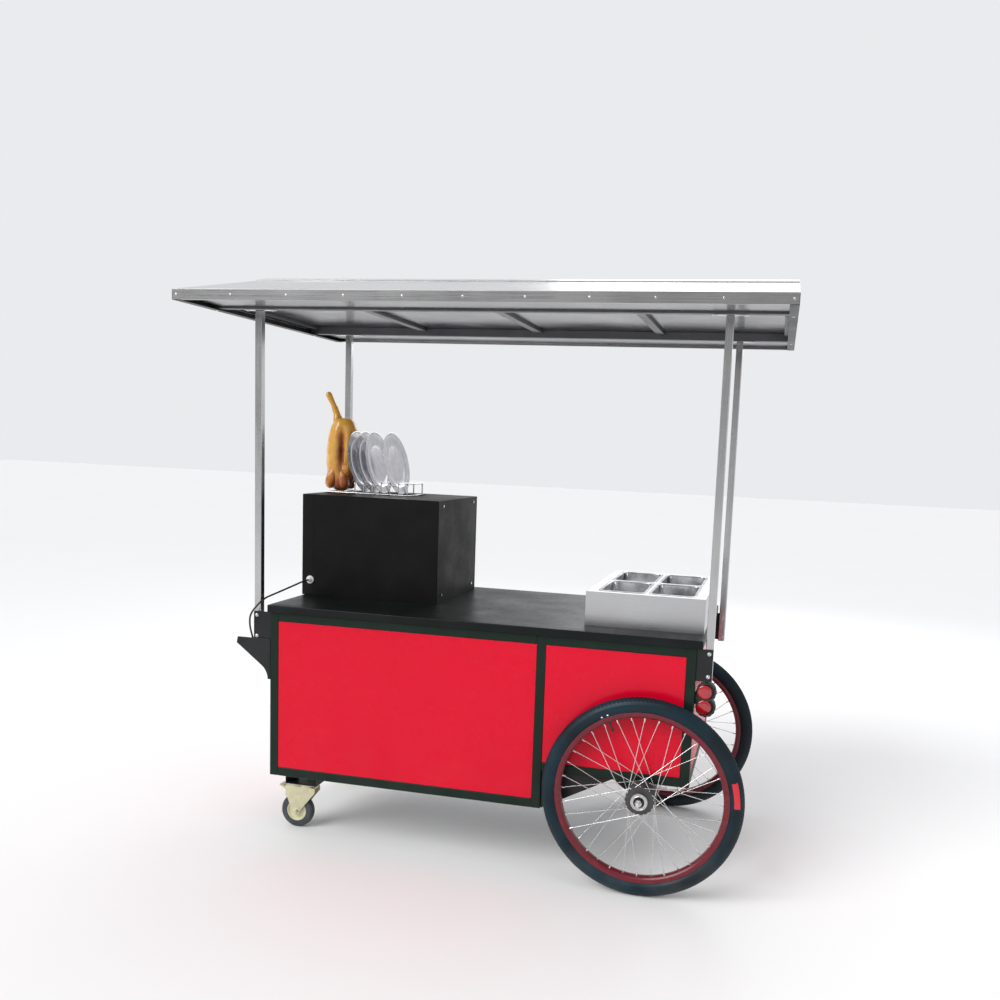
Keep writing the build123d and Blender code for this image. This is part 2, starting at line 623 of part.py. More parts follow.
# ---- casters -----------------------------------------------------------------------------------
with BuildPart() as caster_mounts:
    block(
        CASTER_SWIVEL_X - 25, CASTER_SWIVEL_X + 25, -FRAME_INNER_Y, FRAME_INNER_Y,
        FRAME_BOTTOM, LOW_OPENING - FLOOR_SHEET,
    )
    block(
        CASTER_SWIVEL_X - 22, CASTER_SWIVEL_X + 22, -FRAME_INNER_Y, FRAME_INNER_Y,
        FRAME_BOTTOM + 3, LOW_OPENING - FLOOR_SHEET - 3, mode=Mode.SUBTRACT,
    )
    for _, side in SIDES:
        riser_y = outward(side, CASTER_Y - 50.0, CASTER_Y + 50.0)
        block(
            CASTER_SWIVEL_X - 61, CASTER_SWIVEL_X + 61, riser_y[0], riser_y[1],
            CASTER_PLATE_TOP, FRAME_BOTTOM - JOINT_GAP,
        )
        block(
            CASTER_SWIVEL_X - 58, CASTER_SWIVEL_X + 58, riser_y[0], riser_y[1],
            CASTER_PLATE_TOP + 3, FRAME_BOTTOM - 3, mode=Mode.SUBTRACT,
        )
save(caster_mounts.part, "caster_mounts")

PLATE_THICKNESS = 5.0
CROWN_TOP = 158.0
CROWN_THICKNESS = 4.0
KINGPIN_RADIUS = 6.0
LEG_INNER = 18.5
LEG_THICKNESS = 3.5
CASTER_AXLE_RADIUS = 6.0
CASTER_CORE = 38.0
BRAKE_PIN_X = -738.0
BRAKE_PIN_Z = 142.0
BRAKE_PIN_RADIUS = 3.0
RACE_TOP = CASTER_PLATE_TOP - PLATE_THICKNESS
with BuildPart() as caster_plates:
    for _, side in SIDES:
        swivel_y = side * CASTER_Y
        block(
            CASTER_SWIVEL_X - 52, CASTER_SWIVEL_X + 52, swivel_y - 40, swivel_y + 40,
            RACE_TOP, CASTER_PLATE_TOP,
        )
        rod_z(CASTER_SWIVEL_X, swivel_y, CROWN_TOP - CROWN_THICKNESS - 0.3, RACE_TOP, KINGPIN_RADIUS)
        rod_z(
            CASTER_SWIVEL_X, swivel_y, CROWN_TOP - CROWN_THICKNESS - 5.3,
            CROWN_TOP - CROWN_THICKNESS - 0.3, 11.0,
        )
save(caster_plates.part, "caster_plates")

for name, side in SIDES:
    swivel_y = side * CASTER_Y

    with BuildPart() as caster_fork:
        block(
            -745.0, -628.0, swivel_y - LEG_INNER - LEG_THICKNESS, swivel_y + LEG_INNER + LEG_THICKNESS,
            CROWN_TOP - CROWN_THICKNESS, CROWN_TOP,
        )
        rod_z(CASTER_SWIVEL_X, swivel_y, CROWN_TOP, RACE_TOP - 0.4, 27.0)
        for leg in (-1, 1):
            leg_y = sorted((
                swivel_y + leg * LEG_INNER, swivel_y + leg * (LEG_INNER + LEG_THICKNESS)))
            with BuildSketch(Plane.XZ.offset(-leg_y[1])):
                with BuildLine():
                    Polyline(
                        (-745.0, CROWN_TOP), (-628.0, CROWN_TOP), (-628.0, CROWN_TOP - 18.0),
                        (CASTER_AXLE_X + 14.0, CASTER_RADIUS), (CASTER_AXLE_X - 14.0, CASTER_RADIUS),
                        (-745.0, CROWN_TOP - 28.0), close=True,
                    )
                make_face()
                with Locations((CASTER_AXLE_X, CASTER_RADIUS)):
                    Circle(14.0)
            extrude(amount=LEG_THICKNESS)
        rod_y(
            CASTER_AXLE_X, swivel_y - 30, swivel_y + 30, CASTER_RADIUS, CASTER_AXLE_RADIUS + JOINT_GAP,
            mode=Mode.SUBTRACT,
        )
        rod_y(
            BRAKE_PIN_X, swivel_y - 30, swivel_y + 30, BRAKE_PIN_Z, BRAKE_PIN_RADIUS + JOINT_GAP,
            mode=Mode.SUBTRACT,
        )
        rod_z(
            CASTER_SWIVEL_X, swivel_y, CROWN_TOP - 10, RACE_TOP, KINGPIN_RADIUS + 0.05,
            mode=Mode.SUBTRACT,
        )
        rod_y(CASTER_AXLE_X, swivel_y - 29, swivel_y + 29, CASTER_RADIUS, CASTER_AXLE_RADIUS)
        for head in (-1, 1):
            head_y = sorted((swivel_y + head * (22.0 + JOINT_GAP), swivel_y + head * 28.0))
            with BuildSketch(Plane.XZ.offset(-head_y[1])):
                with Locations((CASTER_AXLE_X, CASTER_RADIUS)):
                    RegularPolygon(9.5, 6)
            extrude(amount=head_y[1] - head_y[0])
        rod_y(BRAKE_PIN_X, swivel_y - 23, swivel_y + 23, BRAKE_PIN_Z, BRAKE_PIN_RADIUS)
    save(caster_fork.part, f"caster_fork_{name}")

    with BuildPart() as caster_core:
        ring_y(
            CASTER_AXLE_X, CASTER_RADIUS, CASTER_AXLE_RADIUS + 0.05, CASTER_CORE,
            swivel_y - 11, swivel_y + 11,
        )
        ring_y(
            CASTER_AXLE_X, CASTER_RADIUS, CASTER_AXLE_RADIUS + 0.05, 13.0,
            swivel_y - 18, swivel_y + 18,
        )
        ring_y(CASTER_AXLE_X, CASTER_RADIUS, CASTER_CORE - 5, CASTER_CORE, swivel_y - 15, swivel_y + 15)
    save(caster_core.part, f"caster_core_{name}")

    with BuildPart() as caster_tread:
        with BuildSketch(Plane.YZ.offset(CASTER_AXLE_X)):
            with Locations((swivel_y, CASTER_RADIUS + (CASTER_CORE + CASTER_RADIUS) / 2)):
                tread_profile = Rectangle(32.0, CASTER_RADIUS - CASTER_CORE)
            fillet(tread_profile.vertices().group_by(Axis.Y)[-1], 7.0)
        revolve(axis=Axis((CASTER_AXLE_X, 0, CASTER_RADIUS), (0, 1, 0)))
    save(caster_tread.part, f"caster_tread_{name}")

    with BuildPart() as brake_pedal:
        with BuildSketch(Plane.XZ.offset(-(swivel_y + 17.0))):
            with Locations((BRAKE_PIN_X, BRAKE_PIN_Z)):
                Circle(6.5)
            with BuildLine():
                Polyline(
                    (BRAKE_PIN_X - 3.0, BRAKE_PIN_Z + 5.5), (-771.0, 158.0), (-773.0, 153.5),
                    (BRAKE_PIN_X - 5.0, BRAKE_PIN_Z - 3.0), close=True,
                )
            make_face()
            with BuildLine():
                Polyline(
                    (BRAKE_PIN_X + 4.0, BRAKE_PIN_Z - 4.0), (BRAKE_PIN_X - 6.0, BRAKE_PIN_Z - 28.0),
                    (BRAKE_PIN_X - 12.0, BRAKE_PIN_Z - 25.0), (BRAKE_PIN_X - 5.5, BRAKE_PIN_Z - 2.0),
                    close=True,
                )
            make_face()
            with Locations((BRAKE_PIN_X, BRAKE_PIN_Z)):
                Circle(BRAKE_PIN_RADIUS + 0.05, mode=Mode.SUBTRACT)
        extrude(amount=34.0)
    save(brake_pedal.part, f"caster_brake_{name}")

# ---- marker lamp on the customer-side corner ---------------------------------------------------
LAMP_X = 776.0
LAMP_RADIUS = 32.5
LAMP_CENTRES_Z = (632.0, 681.0)
LAMP_FACE_Y = -358.0
LENS_RADIUS = 23.0
with BuildPart() as lamp_housing:
    for lamp_z in LAMP_CENTRES_Z:
        rod_y(LAMP_X, LAMP_FACE_Y, -318.0, lamp_z, LAMP_RADIUS)
    block(FRAME_RIGHT, LAMP_X, LAMP_FACE_Y + 4.0, -326.0, 640.0, 677.0)
    for lamp_z in LAMP_CENTRES_Z:
        rod_y(LAMP_X - 5.0, LAMP_FACE_Y, LAMP_FACE_Y + 6.0, lamp_z, LENS_RADIUS, mode=Mode.SUBTRACT)
save(lamp_housing.part, "lamp_housing")
with BuildPart() as lamp_lenses:
    for lamp_z in LAMP_CENTRES_Z:
        rod_y(LAMP_X - 5.0, LAMP_FACE_Y - 5.0, LAMP_FACE_Y + 6.0, lamp_z, LENS_RADIUS)
    fillet(lamp_lenses.part.edges().group_by(Axis.Y)[0], 4.0)
save(lamp_lenses.part, "lamp_lenses")

# ---- warmer on the worktop's left --------------------------------------------------------------
FOLD = 44.0
GROMMET_X = -733.0
GROMMET_Z = WORKTOP_TOP + 58.0
DOOR_Z1 = WARMER_TOP - 12.0
CONTROL_X = -328.0
with BuildPart() as warmer_shell:
    block(WARMER_LEFT, WARMER_RIGHT - WARMER_SHEET, WARMER_FRONT, WARMER_BACK, WORKTOP_TOP, WARMER_TOP)
    block(
        WARMER_LEFT + WARMER_SHEET, WARMER_RIGHT - WARMER_SHEET, WARMER_FRONT + WARMER_SHEET, WARMER_BACK,
        WORKTOP_TOP + WARMER_SHEET, WARMER_TOP - WARMER_SHEET, mode=Mode.SUBTRACT,
    )
    block(
        WARMER_LEFT + FOLD, WARMER_RIGHT - WARMER_SHEET, WARMER_FRONT, WARMER_FRONT + WARMER_SHEET,
        WORKTOP_TOP + WARMER_SHEET, WARMER_TOP - WARMER_SHEET, mode=Mode.SUBTRACT,
    )
    rod_y(GROMMET_X, WARMER_FRONT - 5, WARMER_FRONT + 5, GROMMET_Z, 9.0, mode=Mode.SUBTRACT)
save(warmer_shell.part, "warmer_shell")
with BuildPart() as warmer_covers:
    block(
        WARMER_LEFT + FOLD, WARMER_RIGHT - WARMER_SHEET - JOINT_GAP,
        WARMER_FRONT, WARMER_FRONT + WARMER_SHEET,
        WORKTOP_TOP + WARMER_SHEET, WARMER_TOP - WARMER_SHEET,
    )
    block(WARMER_RIGHT - WARMER_SHEET, WARMER_RIGHT, WARMER_FRONT, WARMER_BACK, WORKTOP_TOP, WARMER_TOP)
    block(
        CONTROL_X, WARMER_RIGHT - WARMER_SHEET - JOINT_GAP, WARMER_BACK - 12.0, WARMER_BACK,
        WORKTOP_TOP + WARMER_SHEET, WARMER_TOP - WARMER_SHEET,
    )
    rod_y(-280.0, WARMER_BACK - 13.0, WARMER_BACK + 1.0, 1120.0, 3.1, mode=Mode.SUBTRACT)
save(warmer_covers.part, "warmer_covers")
with BuildPart() as warmer_knob:
    rod_y(-280.0, WARMER_BACK + 0.5, WARMER_BACK + 17.0, 1120.0, 17.0)
    fillet(warmer_knob.part.edges().group_by(Axis.Y)[-1], 2.0)
    block(-282.0, -278.0, WARMER_BACK + 16.0, WARMER_BACK + 20.0, 1104.0, 1136.0)
    rod_y(-280.0, WARMER_BACK - 12.0, WARMER_BACK + 1.0, 1120.0, 3.0)
save(warmer_knob.part, "warmer_knob")

WARMER_DOOR_X = (WARMER_LEFT + 8.0, CONTROL_X - 3.0)
WARMER_HINGE_Y = WARMER_BACK + 7.0
WARMER_HINGE_Z = WORKTOP_TOP + 11.0
DOOR_FACE = (WARMER_BACK + 1.0, WARMER_BACK + 13.0)
WINDOW = 52.0
with BuildPart() as warmer_door:
    block(
        WARMER_DOOR_X[0], WARMER_DOOR_X[1], DOOR_FACE[0], DOOR_FACE[1],
        WARMER_HINGE_Z + 6.0, DOOR_Z1,
    )
    block(
        WARMER_DOOR_X[0] + WINDOW, WARMER_DOOR_X[1] - WINDOW, DOOR_FACE[0], DOOR_FACE[1],
        WARMER_HINGE_Z + 6.0 + WINDOW, DOOR_Z1 - WINDOW - 20.0, mode=Mode.SUBTRACT,
    )
    for knuckle_x in (WARMER_DOOR_X[0] + 60.0, WARMER_DOOR_X[1] - 60.0):
        block(
            knuckle_x - 12, knuckle_x + 12, WARMER_HINGE_Y - 4.5, WARMER_HINGE_Y + 4.5,
            WARMER_HINGE_Z, WARMER_HINGE_Z + 8,
        )
        rod_x(knuckle_x - 12, knuckle_x + 12, WARMER_HINGE_Y, WARMER_HINGE_Z, 4.5)
        rod_x(knuckle_x - 13, knuckle_x + 13, WARMER_HINGE_Y, WARMER_HINGE_Z, 2.55, mode=Mode.SUBTRACT)
save(warmer_door.part, "warmer_door")
with BuildPart() as warmer_window:
    block(
        WARMER_DOOR_X[0] + WINDOW, WARMER_DOOR_X[1] - WINDOW, DOOR_FACE[0] + 4.0, DOOR_FACE[0] + 8.0,
        WARMER_HINGE_Z + 6.0 + WINDOW, DOOR_Z1 - WINDOW - 20.0,
    )
save(warmer_window.part, "warmer_window")
with BuildPart() as warmer_handle:
    handle_z = DOOR_Z1 - 34.0
    handle_x = (WARMER_DOOR_X[0] + 70.0, WARMER_DOOR_X[1] - 70.0)
    for grip_x in handle_x:
        rod_y(grip_x, DOOR_FACE[1], DOOR_FACE[1] + 34.0, handle_z, 5.0)
    rod_x(handle_x[0] - 14.0, handle_x[1] + 14.0, DOOR_FACE[1] + 34.0, handle_z, 7.0)
save(warmer_handle.part, "warmer_door_handle")

# The fixed halves of every hinge: the cabinet's lower halves with their pins, and the warmer's ears.
with BuildPart() as hinge_halves:
    for _, _, _, pin_x, hinge_side in DOORS:
        for hinge_z in DOOR_HINGE_Z:
            leaf_x = sorted((pin_x, pin_x + hinge_side * LEAF_WIDTH))
            low_z = hinge_z - KNUCKLE_HEIGHT
            block(
                leaf_x[0], leaf_x[1], FRAME_FACE, FRAME_FACE + LEAF_THICKNESS, low_z, hinge_z - 0.3)
            rod_z(pin_x, DOOR_PIN_Y, low_z, hinge_z - 0.3, KNUCKLE_RADIUS)
            rod_z(pin_x, DOOR_PIN_Y, low_z, hinge_z + KNUCKLE_HEIGHT - 2.0, DOOR_PIN_RADIUS)
    for knuckle_x in (WARMER_DOOR_X[0] + 60.0, WARMER_DOOR_X[1] - 60.0):
        rod_x(knuckle_x - 22, knuckle_x + 22, WARMER_HINGE_Y, WARMER_HINGE_Z, 2.5)
        for ear in (-1, 1):
            ear_x = sorted((knuckle_x + ear * 12.5, knuckle_x + ear * 22.0))
            block(ear_x[0], ear_x[1], WARMER_BACK, WARMER_HINGE_Y, WARMER_HINGE_Z - 4.0, WARMER_HINGE_Z + 4.0)
            rod_x(ear_x[0], ear_x[1], WARMER_HINGE_Y, WARMER_HINGE_Z, 4.0)
save(hinge_halves.part, "hinge_halves")

GROMMET_NOSE = WARMER_FRONT - 14.0
with BuildPart() as cord_grommets:
    rod_y(GROMMET_X, WARMER_FRONT - 4.0, WARMER_FRONT, GROMMET_Z, 15.0)
    rod_y(GROMMET_X, WARMER_FRONT, WARMER_FRONT + 5.0, GROMMET_Z, 9.0)
    with BuildSketch(Plane.XZ.offset(-(WARMER_FRONT - 4.0))) as collar_foot:
        with Locations((GROMMET_X, GROMMET_Z)):
            Circle(9.0)
    with BuildSketch(Plane.XZ.offset(-GROMMET_NOSE)) as collar_tip:
        with Locations((GROMMET_X, GROMMET_Z)):
            Circle(5.5)
    loft()
    rod_x(FRAME_LEFT - 7.0, FRAME_LEFT + 2.0, END_GROMMET_Y, END_GROMMET_Z, 11.0)
    rod_x(FRAME_LEFT + 2.0, FRAME_LEFT + 5.0, END_GROMMET_Y, END_GROMMET_Z, 8.0)
save(cord_grommets.part, "cord_grommets")

# ---- the warmer's cord: out of the grommet, over the worktop's end and into the cabinet ---------
CORD_ENTRY_X = FRAME_LEFT - 7.0
CORD_ROUTE = [
    (GROMMET_X, GROMMET_NOSE, GROMMET_Z),
    (-735.0, -160.0, 908.0),
    (-744.0, -208.0, 899.0),
    (-762.0, -258.0, 886.0),
    (-776.0, -309.0, 875.0),
    (-782.0, -352.0, 869.0),
    (-792.0, -385.0, 849.0),
    (-817.0, -391.0, 815.0),
    (-831.0, -372.0, 775.0),
    (-834.0, -352.0, 733.0),
    (-828.0, -338.0, 693.0),
    (-806.0, -318.0, 660.0),
    (CORD_ENTRY_X, END_GROMMET_Y, END_GROMMET_Z),
]


def route_radii(points):
    """Arc radius at each corner: 0.45 of the shorter run over the tangent of half the turn."""
    radii = []
    for before, corner, after in zip(points, points[1:], points[2:]):
        run_in = Vector(*corner) - Vector(*before)
        run_out = Vector(*after) - Vector(*corner)
        half_turn = math.radians(run_in.get_angle(run_out)) / 2
        radii.append(0.45 * min(run_in.length, run_out.length) / math.tan(half_turn))
    return radii


cord_radii = route_radii(CORD_ROUTE)
print("cord arc radii:", [round(radius, 1) for radius in cord_radii])
with BuildPart() as warmer_cord:
    with BuildLine() as cord_path:
        FilletPolyline(*CORD_ROUTE, radius=cord_radii)
    with BuildSketch(Plane(origin=cord_path.line @ 0, z_dir=cord_path.line % 0)):
        Circle(CORD_RADIUS)
    sweep()
cord_length = sum(edge.length for edge in cord_path.edges())
print("cord length:", round(cord_length, 1), "volume ratio:",
      round(warmer_cord.part.volume / (math.pi * CORD_RADIUS**2 * cord_length), 4))
save(warmer_cord.part, "warmer_cord")
# ---- plate rack with plates, and the display duck ----------------------------------------------
RACK_X = (-762.0, -410.0)
RACK_Y = (62.0, 218.0)
WIRE = 2.5
RACK_Z = WARMER_TOP + WIRE + 0.3
HOOP_FOOT = RACK_Z + WIRE + JOINT_GAP
HOOP_TOP = WARMER_TOP + 46.0
HOOP_BEND = 10.0
CROSS_WIRES_X = (-754.0, -726.0, -690.0, -418.0)
HOOPS_X = (-640.0, -604.0, -568.0, -532.0, -496.0, -460.0, -424.0)
with BuildPart() as plate_rack:
    for rail_y in RACK_Y:
        rod_x(RACK_X[0], RACK_X[1], rail_y, RACK_Z, WIRE)
    for cross_x in CROSS_WIRES_X:
        rod_y(cross_x, RACK_Y[0], RACK_Y[1], RACK_Z, WIRE)
    for hoop_x in HOOPS_X:
        bent_wire(
            [
                (hoop_x, RACK_Y[0], HOOP_FOOT), (hoop_x, RACK_Y[0], HOOP_TOP),
                (hoop_x, RACK_Y[1], HOOP_TOP), (hoop_x, RACK_Y[1], HOOP_FOOT),
            ],
            WIRE, HOOP_BEND,
        )
save(plate_rack.part, "plate_rack")

# The plates stand on the warmer between the hoops, and lean back on them.
PLATE_RADIUS = 122.0
PLATE_HALF = 1.6
PLATE_RIM = 4.0
PLATE_Y = 140.0
PLATE_LEAN = math.radians(12.0)
PLATE_GAP = 1.0
LEANED_HOOPS = (HOOPS_X[0], HOOPS_X[1], HOOPS_X[2], HOOPS_X[4])
PLATE_FOOT_OFFSET = (HOOP_TOP - WARMER_TOP) * math.tan(PLATE_LEAN) + WIRE + PLATE_HALF + 0.8
PLATE_CENTRE_Z = WARMER_TOP + PLATE_GAP + PLATE_RADIUS * math.cos(PLATE_LEAN)
with BuildPart() as plates:
    for hoop_x in LEANED_HOOPS:
        plate_x = hoop_x + PLATE_FOOT_OFFSET - PLATE_RADIUS * math.sin(PLATE_LEAN)
        plate_plane = Plane(
            origin=(plate_x, PLATE_Y, PLATE_CENTRE_Z),
            x_dir=(0, 1, 0),
            z_dir=(math.cos(PLATE_LEAN), 0, math.sin(PLATE_LEAN)),
        )
        with BuildSketch(plate_plane):
            Circle(PLATE_RADIUS)
        extrude(amount=PLATE_HALF, both=True)
        with BuildSketch(plate_plane.offset(PLATE_HALF)):
            Circle(PLATE_RADIUS)
            Circle(PLATE_RADIUS - 4.0, mode=Mode.SUBTRACT)
        extrude(amount=PLATE_RIM)
save(plates.part, "plates")

DUCK_X = -727.0
DUCK_Y = 140.0
DUCK_BASE = RACK_Z + WIRE + 0.3
DUCK_HEIGHT = 262.0
DUCK_RADIUS = 66.0
with BuildPart() as display_duck:
    with BuildSketch(Plane.XZ.offset(-DUCK_Y)):
        with BuildLine():
            Polyline(
                (DUCK_X, DUCK_BASE + DUCK_HEIGHT), (DUCK_X, DUCK_BASE), (DUCK_X + 36.0, DUCK_BASE))
            Spline(
                (DUCK_X + 36.0, DUCK_BASE),
                (DUCK_X + DUCK_RADIUS, DUCK_BASE + 90.0),
                (DUCK_X + 50.0, DUCK_BASE + 195.0),
                (DUCK_X, DUCK_BASE + DUCK_HEIGHT),
                tangents=[(0.6, 1.0), (-1.0, 0.0)],
            )
        make_face()
    revolve(axis=Axis((DUCK_X, DUCK_Y, 0), (0, 0, 1)))
    neck_foot = Plane(origin=(DUCK_X - 8.0, DUCK_Y, DUCK_BASE + 240.0), z_dir=(-0.42, 0, 1))
    with BuildSketch(neck_foot):
        Circle(19.0)
    with BuildSketch(neck_foot.offset(120.0)):
        Circle(11.0)
    loft()
save(display_duck.part, "display_duck")

# ---- bain-marie on the worktop's right ---------------------------------------------------------
BAIN_SHEET = 1.2
PAN_X = 162.0
PAN_Y = 265.0
PAN_DEPTH = 95.0
PAN_WALL = 0.9
PAN_FLANGE = 9.0
PAN_CENTRES_X = (467.0, 637.0)
PAN_CENTRES_Y = (-103.0, 170.0)
with BuildPart() as bain_casing:
    block(BAIN_LEFT, BAIN_RIGHT, BAIN_FRONT, BAIN_BACK, WORKTOP_TOP, BAIN_TOP)
    block(
        BAIN_LEFT + BAIN_SHEET, BAIN_RIGHT - BAIN_SHEET, BAIN_FRONT + BAIN_SHEET, BAIN_BACK - BAIN_SHEET,
        WORKTOP_TOP + BAIN_SHEET, BAIN_TOP - BAIN_SHEET, mode=Mode.SUBTRACT,
    )
    for pan_x in PAN_CENTRES_X:
        for pan_y in PAN_CENTRES_Y:
            half_x = PAN_X / 2 - PAN_FLANGE + 1.5
            half_y = PAN_Y / 2 - PAN_FLANGE + 1.5
            block(
                pan_x - half_x, pan_x + half_x, pan_y - half_y, pan_y + half_y,
                BAIN_TOP - 3.0, BAIN_TOP + 1.0, mode=Mode.SUBTRACT,
            )
    rod_y(552.0, BAIN_BACK - 5.0, BAIN_BACK + 5.0, WORKTOP_TOP + 58.0, 3.1, mode=Mode.SUBTRACT)
save(bain_casing.part, "bain_marie_casing")

pan_number = 0
for pan_x in PAN_CENTRES_X:
    for pan_y in PAN_CENTRES_Y:
        pan_number += 1
        with BuildPart() as pan:
            with BuildSketch(Plane.XY.offset(BAIN_TOP + 0.3)):
                with Locations((pan_x, pan_y)):
                    RectangleRounded(PAN_X, PAN_Y, 22.0)
            extrude(amount=1.5)
            with BuildSketch(Plane.XY.offset(BAIN_TOP + 1.8)):
                with Locations((pan_x, pan_y)):
                    RectangleRounded(PAN_X - 2 * PAN_FLANGE, PAN_Y - 2 * PAN_FLANGE, 18.0)
            extrude(amount=-PAN_DEPTH)
            with BuildSketch(Plane.XY.offset(BAIN_TOP + 1.8)):
                with Locations((pan_x, pan_y)):
                    RectangleRounded(
                        PAN_X - 2 * PAN_FLANGE - 2 * PAN_WALL, PAN_Y - 2 * PAN_FLANGE - 2 * PAN_WALL, 17.0)
            extrude(amount=-(PAN_DEPTH - PAN_WALL), mode=Mode.SUBTRACT)
        save(pan.part, f"food_pan_{pan_number}")

with BuildPart() as bain_knob:
    rod_y(552.0, BAIN_BACK + 0.5, BAIN_BACK + 17.0, WORKTOP_TOP + 58.0, 16.0)
    fillet(bain_knob.part.edges().group_by(Axis.Y)[-1], 2.0)
    block(550.0, 554.0, BAIN_BACK + 16.0, BAIN_BACK + 20.0, WORKTOP_TOP + 43.0, WORKTOP_TOP + 73.0)
    rod_y(552.0, BAIN_BACK - 8.0, BAIN_BACK + 1.0, WORKTOP_TOP + 58.0, 3.0)
save(bain_knob.part, "bain_marie_knob")

# ---- fasteners: bolts, screws and rivets -------------------------------------------------------
RIVET_COUNT = 11
RIVET_PITCH = 193.0
with BuildPart() as fasteners:
    for post_x, side, frame_x, end in POSTS:
        for bolt_z in BOLT_Z:
            head_y = outward(side, POST_FACE_Y + BRACKET_PLATE, POST_FACE_Y + BRACKET_PLATE + 4.5)
            rod_y(post_x, head_y[0], head_y[1], bolt_z, 6.5)
            nut_y = outward(side, POST_Y - POST / 2, POST_Y - POST / 2 - 5.5)
            with BuildSketch(Plane.XZ.offset(-nut_y[1])):
                with Locations((post_x, bolt_z)):
                    RegularPolygon(6.5, 6)
            extrude(amount=nut_y[1] - nut_y[0])
            bolt_x = sorted((frame_x + end * BRACKET_PLATE, frame_x + end * (BRACKET_PLATE + 4.0)))
            rod_x(bolt_x[0], bolt_x[1], side * 325.0, bolt_z, 6.0)
        for offset_x in (-46.0, 46.0):
            rod_z(post_x + offset_x, side * POST_Y, POST_TOP - 3.5, POST_TOP, 5.0)
    for _, side in SIDES:
        for bolt_z in (622.0, 690.0):
            rod_x(FRAME_LEFT - HANDLE_PLATE - 4.0, FRAME_LEFT - HANDLE_PLATE, side * 332.0, bolt_z, 5.5)
        for index in range(RIVET_COUNT):
            rivet_x = (index - (RIVET_COUNT - 1) / 2) * RIVET_PITCH
            rivet_y = outward(side, ROOF_HALF_DEPTH, ROOF_HALF_DEPTH + 0.8)
            rod_y(rivet_x, rivet_y[0], rivet_y[1], ROOF_BOTTOM + 16.0, 4.0)
    for end in (-1, 1):
        for screw_y in (-355.0, 355.0):
            screw_z = ROOF_BOTTOM - ROOF_SHEET
            rod_z(end * (ROOF_HALF_LENGTH - 14.0), screw_y, screw_z - 2.5, screw_z, 5.0)
    for screw_y in (-67.0, 281.0):
        for screw_z in (WORKTOP_TOP + 30.0, WARMER_TOP - 20.0):
            rod_x(WARMER_RIGHT, WARMER_RIGHT + 2.5, screw_y, screw_z, 5.0)
save(fasteners.part, "fasteners")
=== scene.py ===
"""Looks of a push-along food vending cart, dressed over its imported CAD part.

Metres, in the CAD part's own frame: +X runs from the push handle to the big wheels, -Y is the customer
side and +Z is up. Each sub-assembly is one class that holds its sizes, builds its meshes and dresses them.
"""

import json
import logging
import math
from dataclasses import dataclass, replace
from enum import Enum
from typing import Any, ClassVar, Optional, Sequence

import bmesh
import bpy
import numpy as np
from mathutils import Matrix, Vector


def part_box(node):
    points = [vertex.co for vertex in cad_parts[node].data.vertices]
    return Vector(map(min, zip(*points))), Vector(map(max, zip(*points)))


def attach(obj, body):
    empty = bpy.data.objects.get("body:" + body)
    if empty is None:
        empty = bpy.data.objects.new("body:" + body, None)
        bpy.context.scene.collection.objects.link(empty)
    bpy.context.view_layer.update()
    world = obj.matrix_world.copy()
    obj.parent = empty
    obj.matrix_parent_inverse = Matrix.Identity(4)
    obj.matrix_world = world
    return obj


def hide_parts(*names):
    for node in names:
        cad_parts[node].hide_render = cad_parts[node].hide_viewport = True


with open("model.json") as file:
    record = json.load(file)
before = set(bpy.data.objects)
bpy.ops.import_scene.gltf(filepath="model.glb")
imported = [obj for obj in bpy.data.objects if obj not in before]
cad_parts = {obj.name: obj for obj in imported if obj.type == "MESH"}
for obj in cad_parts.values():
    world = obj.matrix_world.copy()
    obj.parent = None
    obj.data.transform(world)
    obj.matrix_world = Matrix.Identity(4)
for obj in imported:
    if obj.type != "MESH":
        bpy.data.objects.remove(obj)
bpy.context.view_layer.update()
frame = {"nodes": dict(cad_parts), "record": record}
LOG = logging.getLogger("cart")
Colour = tuple[float, float, float]
BODY_OF = {
    node: body
    for body, nodes in frame["record"]["behaviour"]["bodies"].items()
    for node in nodes
}
SIDES = (("front", -1.0), ("rear", 1.0))


class Axis(Enum):
    """The row axis that a turned shape goes round, by its number."""

    X = 0
    Y = 1
    Z = 2


# ---- surfaces ----------------------------------------------------------------------------------
@dataclass
class Patch:
    """A piece of surface made only of four-sided faces, with one finish number."""

    points: np.ndarray
    quads: np.ndarray
    finish: int = 0


def grid(points: np.ndarray, wrap_rows: bool = False, wrap_columns: bool = False, finish: int = 0) -> Patch:
    """Joins a grid of points into faces, each from one grid cell.

    Args:
        points: Positions, rows by columns by 3.
        wrap_rows: Whether the last row joins the first.
        wrap_columns: Whether the last column joins the first.
        finish: The finish number of every face.

    Returns:
        The patch of surface.
    """
    rows, columns = points.shape[:2]
    row, column = np.meshgrid(
        np.arange(rows if wrap_rows else rows - 1),
        np.arange(columns if wrap_columns else columns - 1),
        indexing="ij",
    )
    below = (row + 1) % rows
    right = (column + 1) % columns
    quads = np.stack(
        [row * columns + column, row * columns + right, below * columns + right, below * columns + column],
        axis=-1,
    )
    return Patch(points.reshape(-1, 3), quads.reshape(-1, 4), finish)


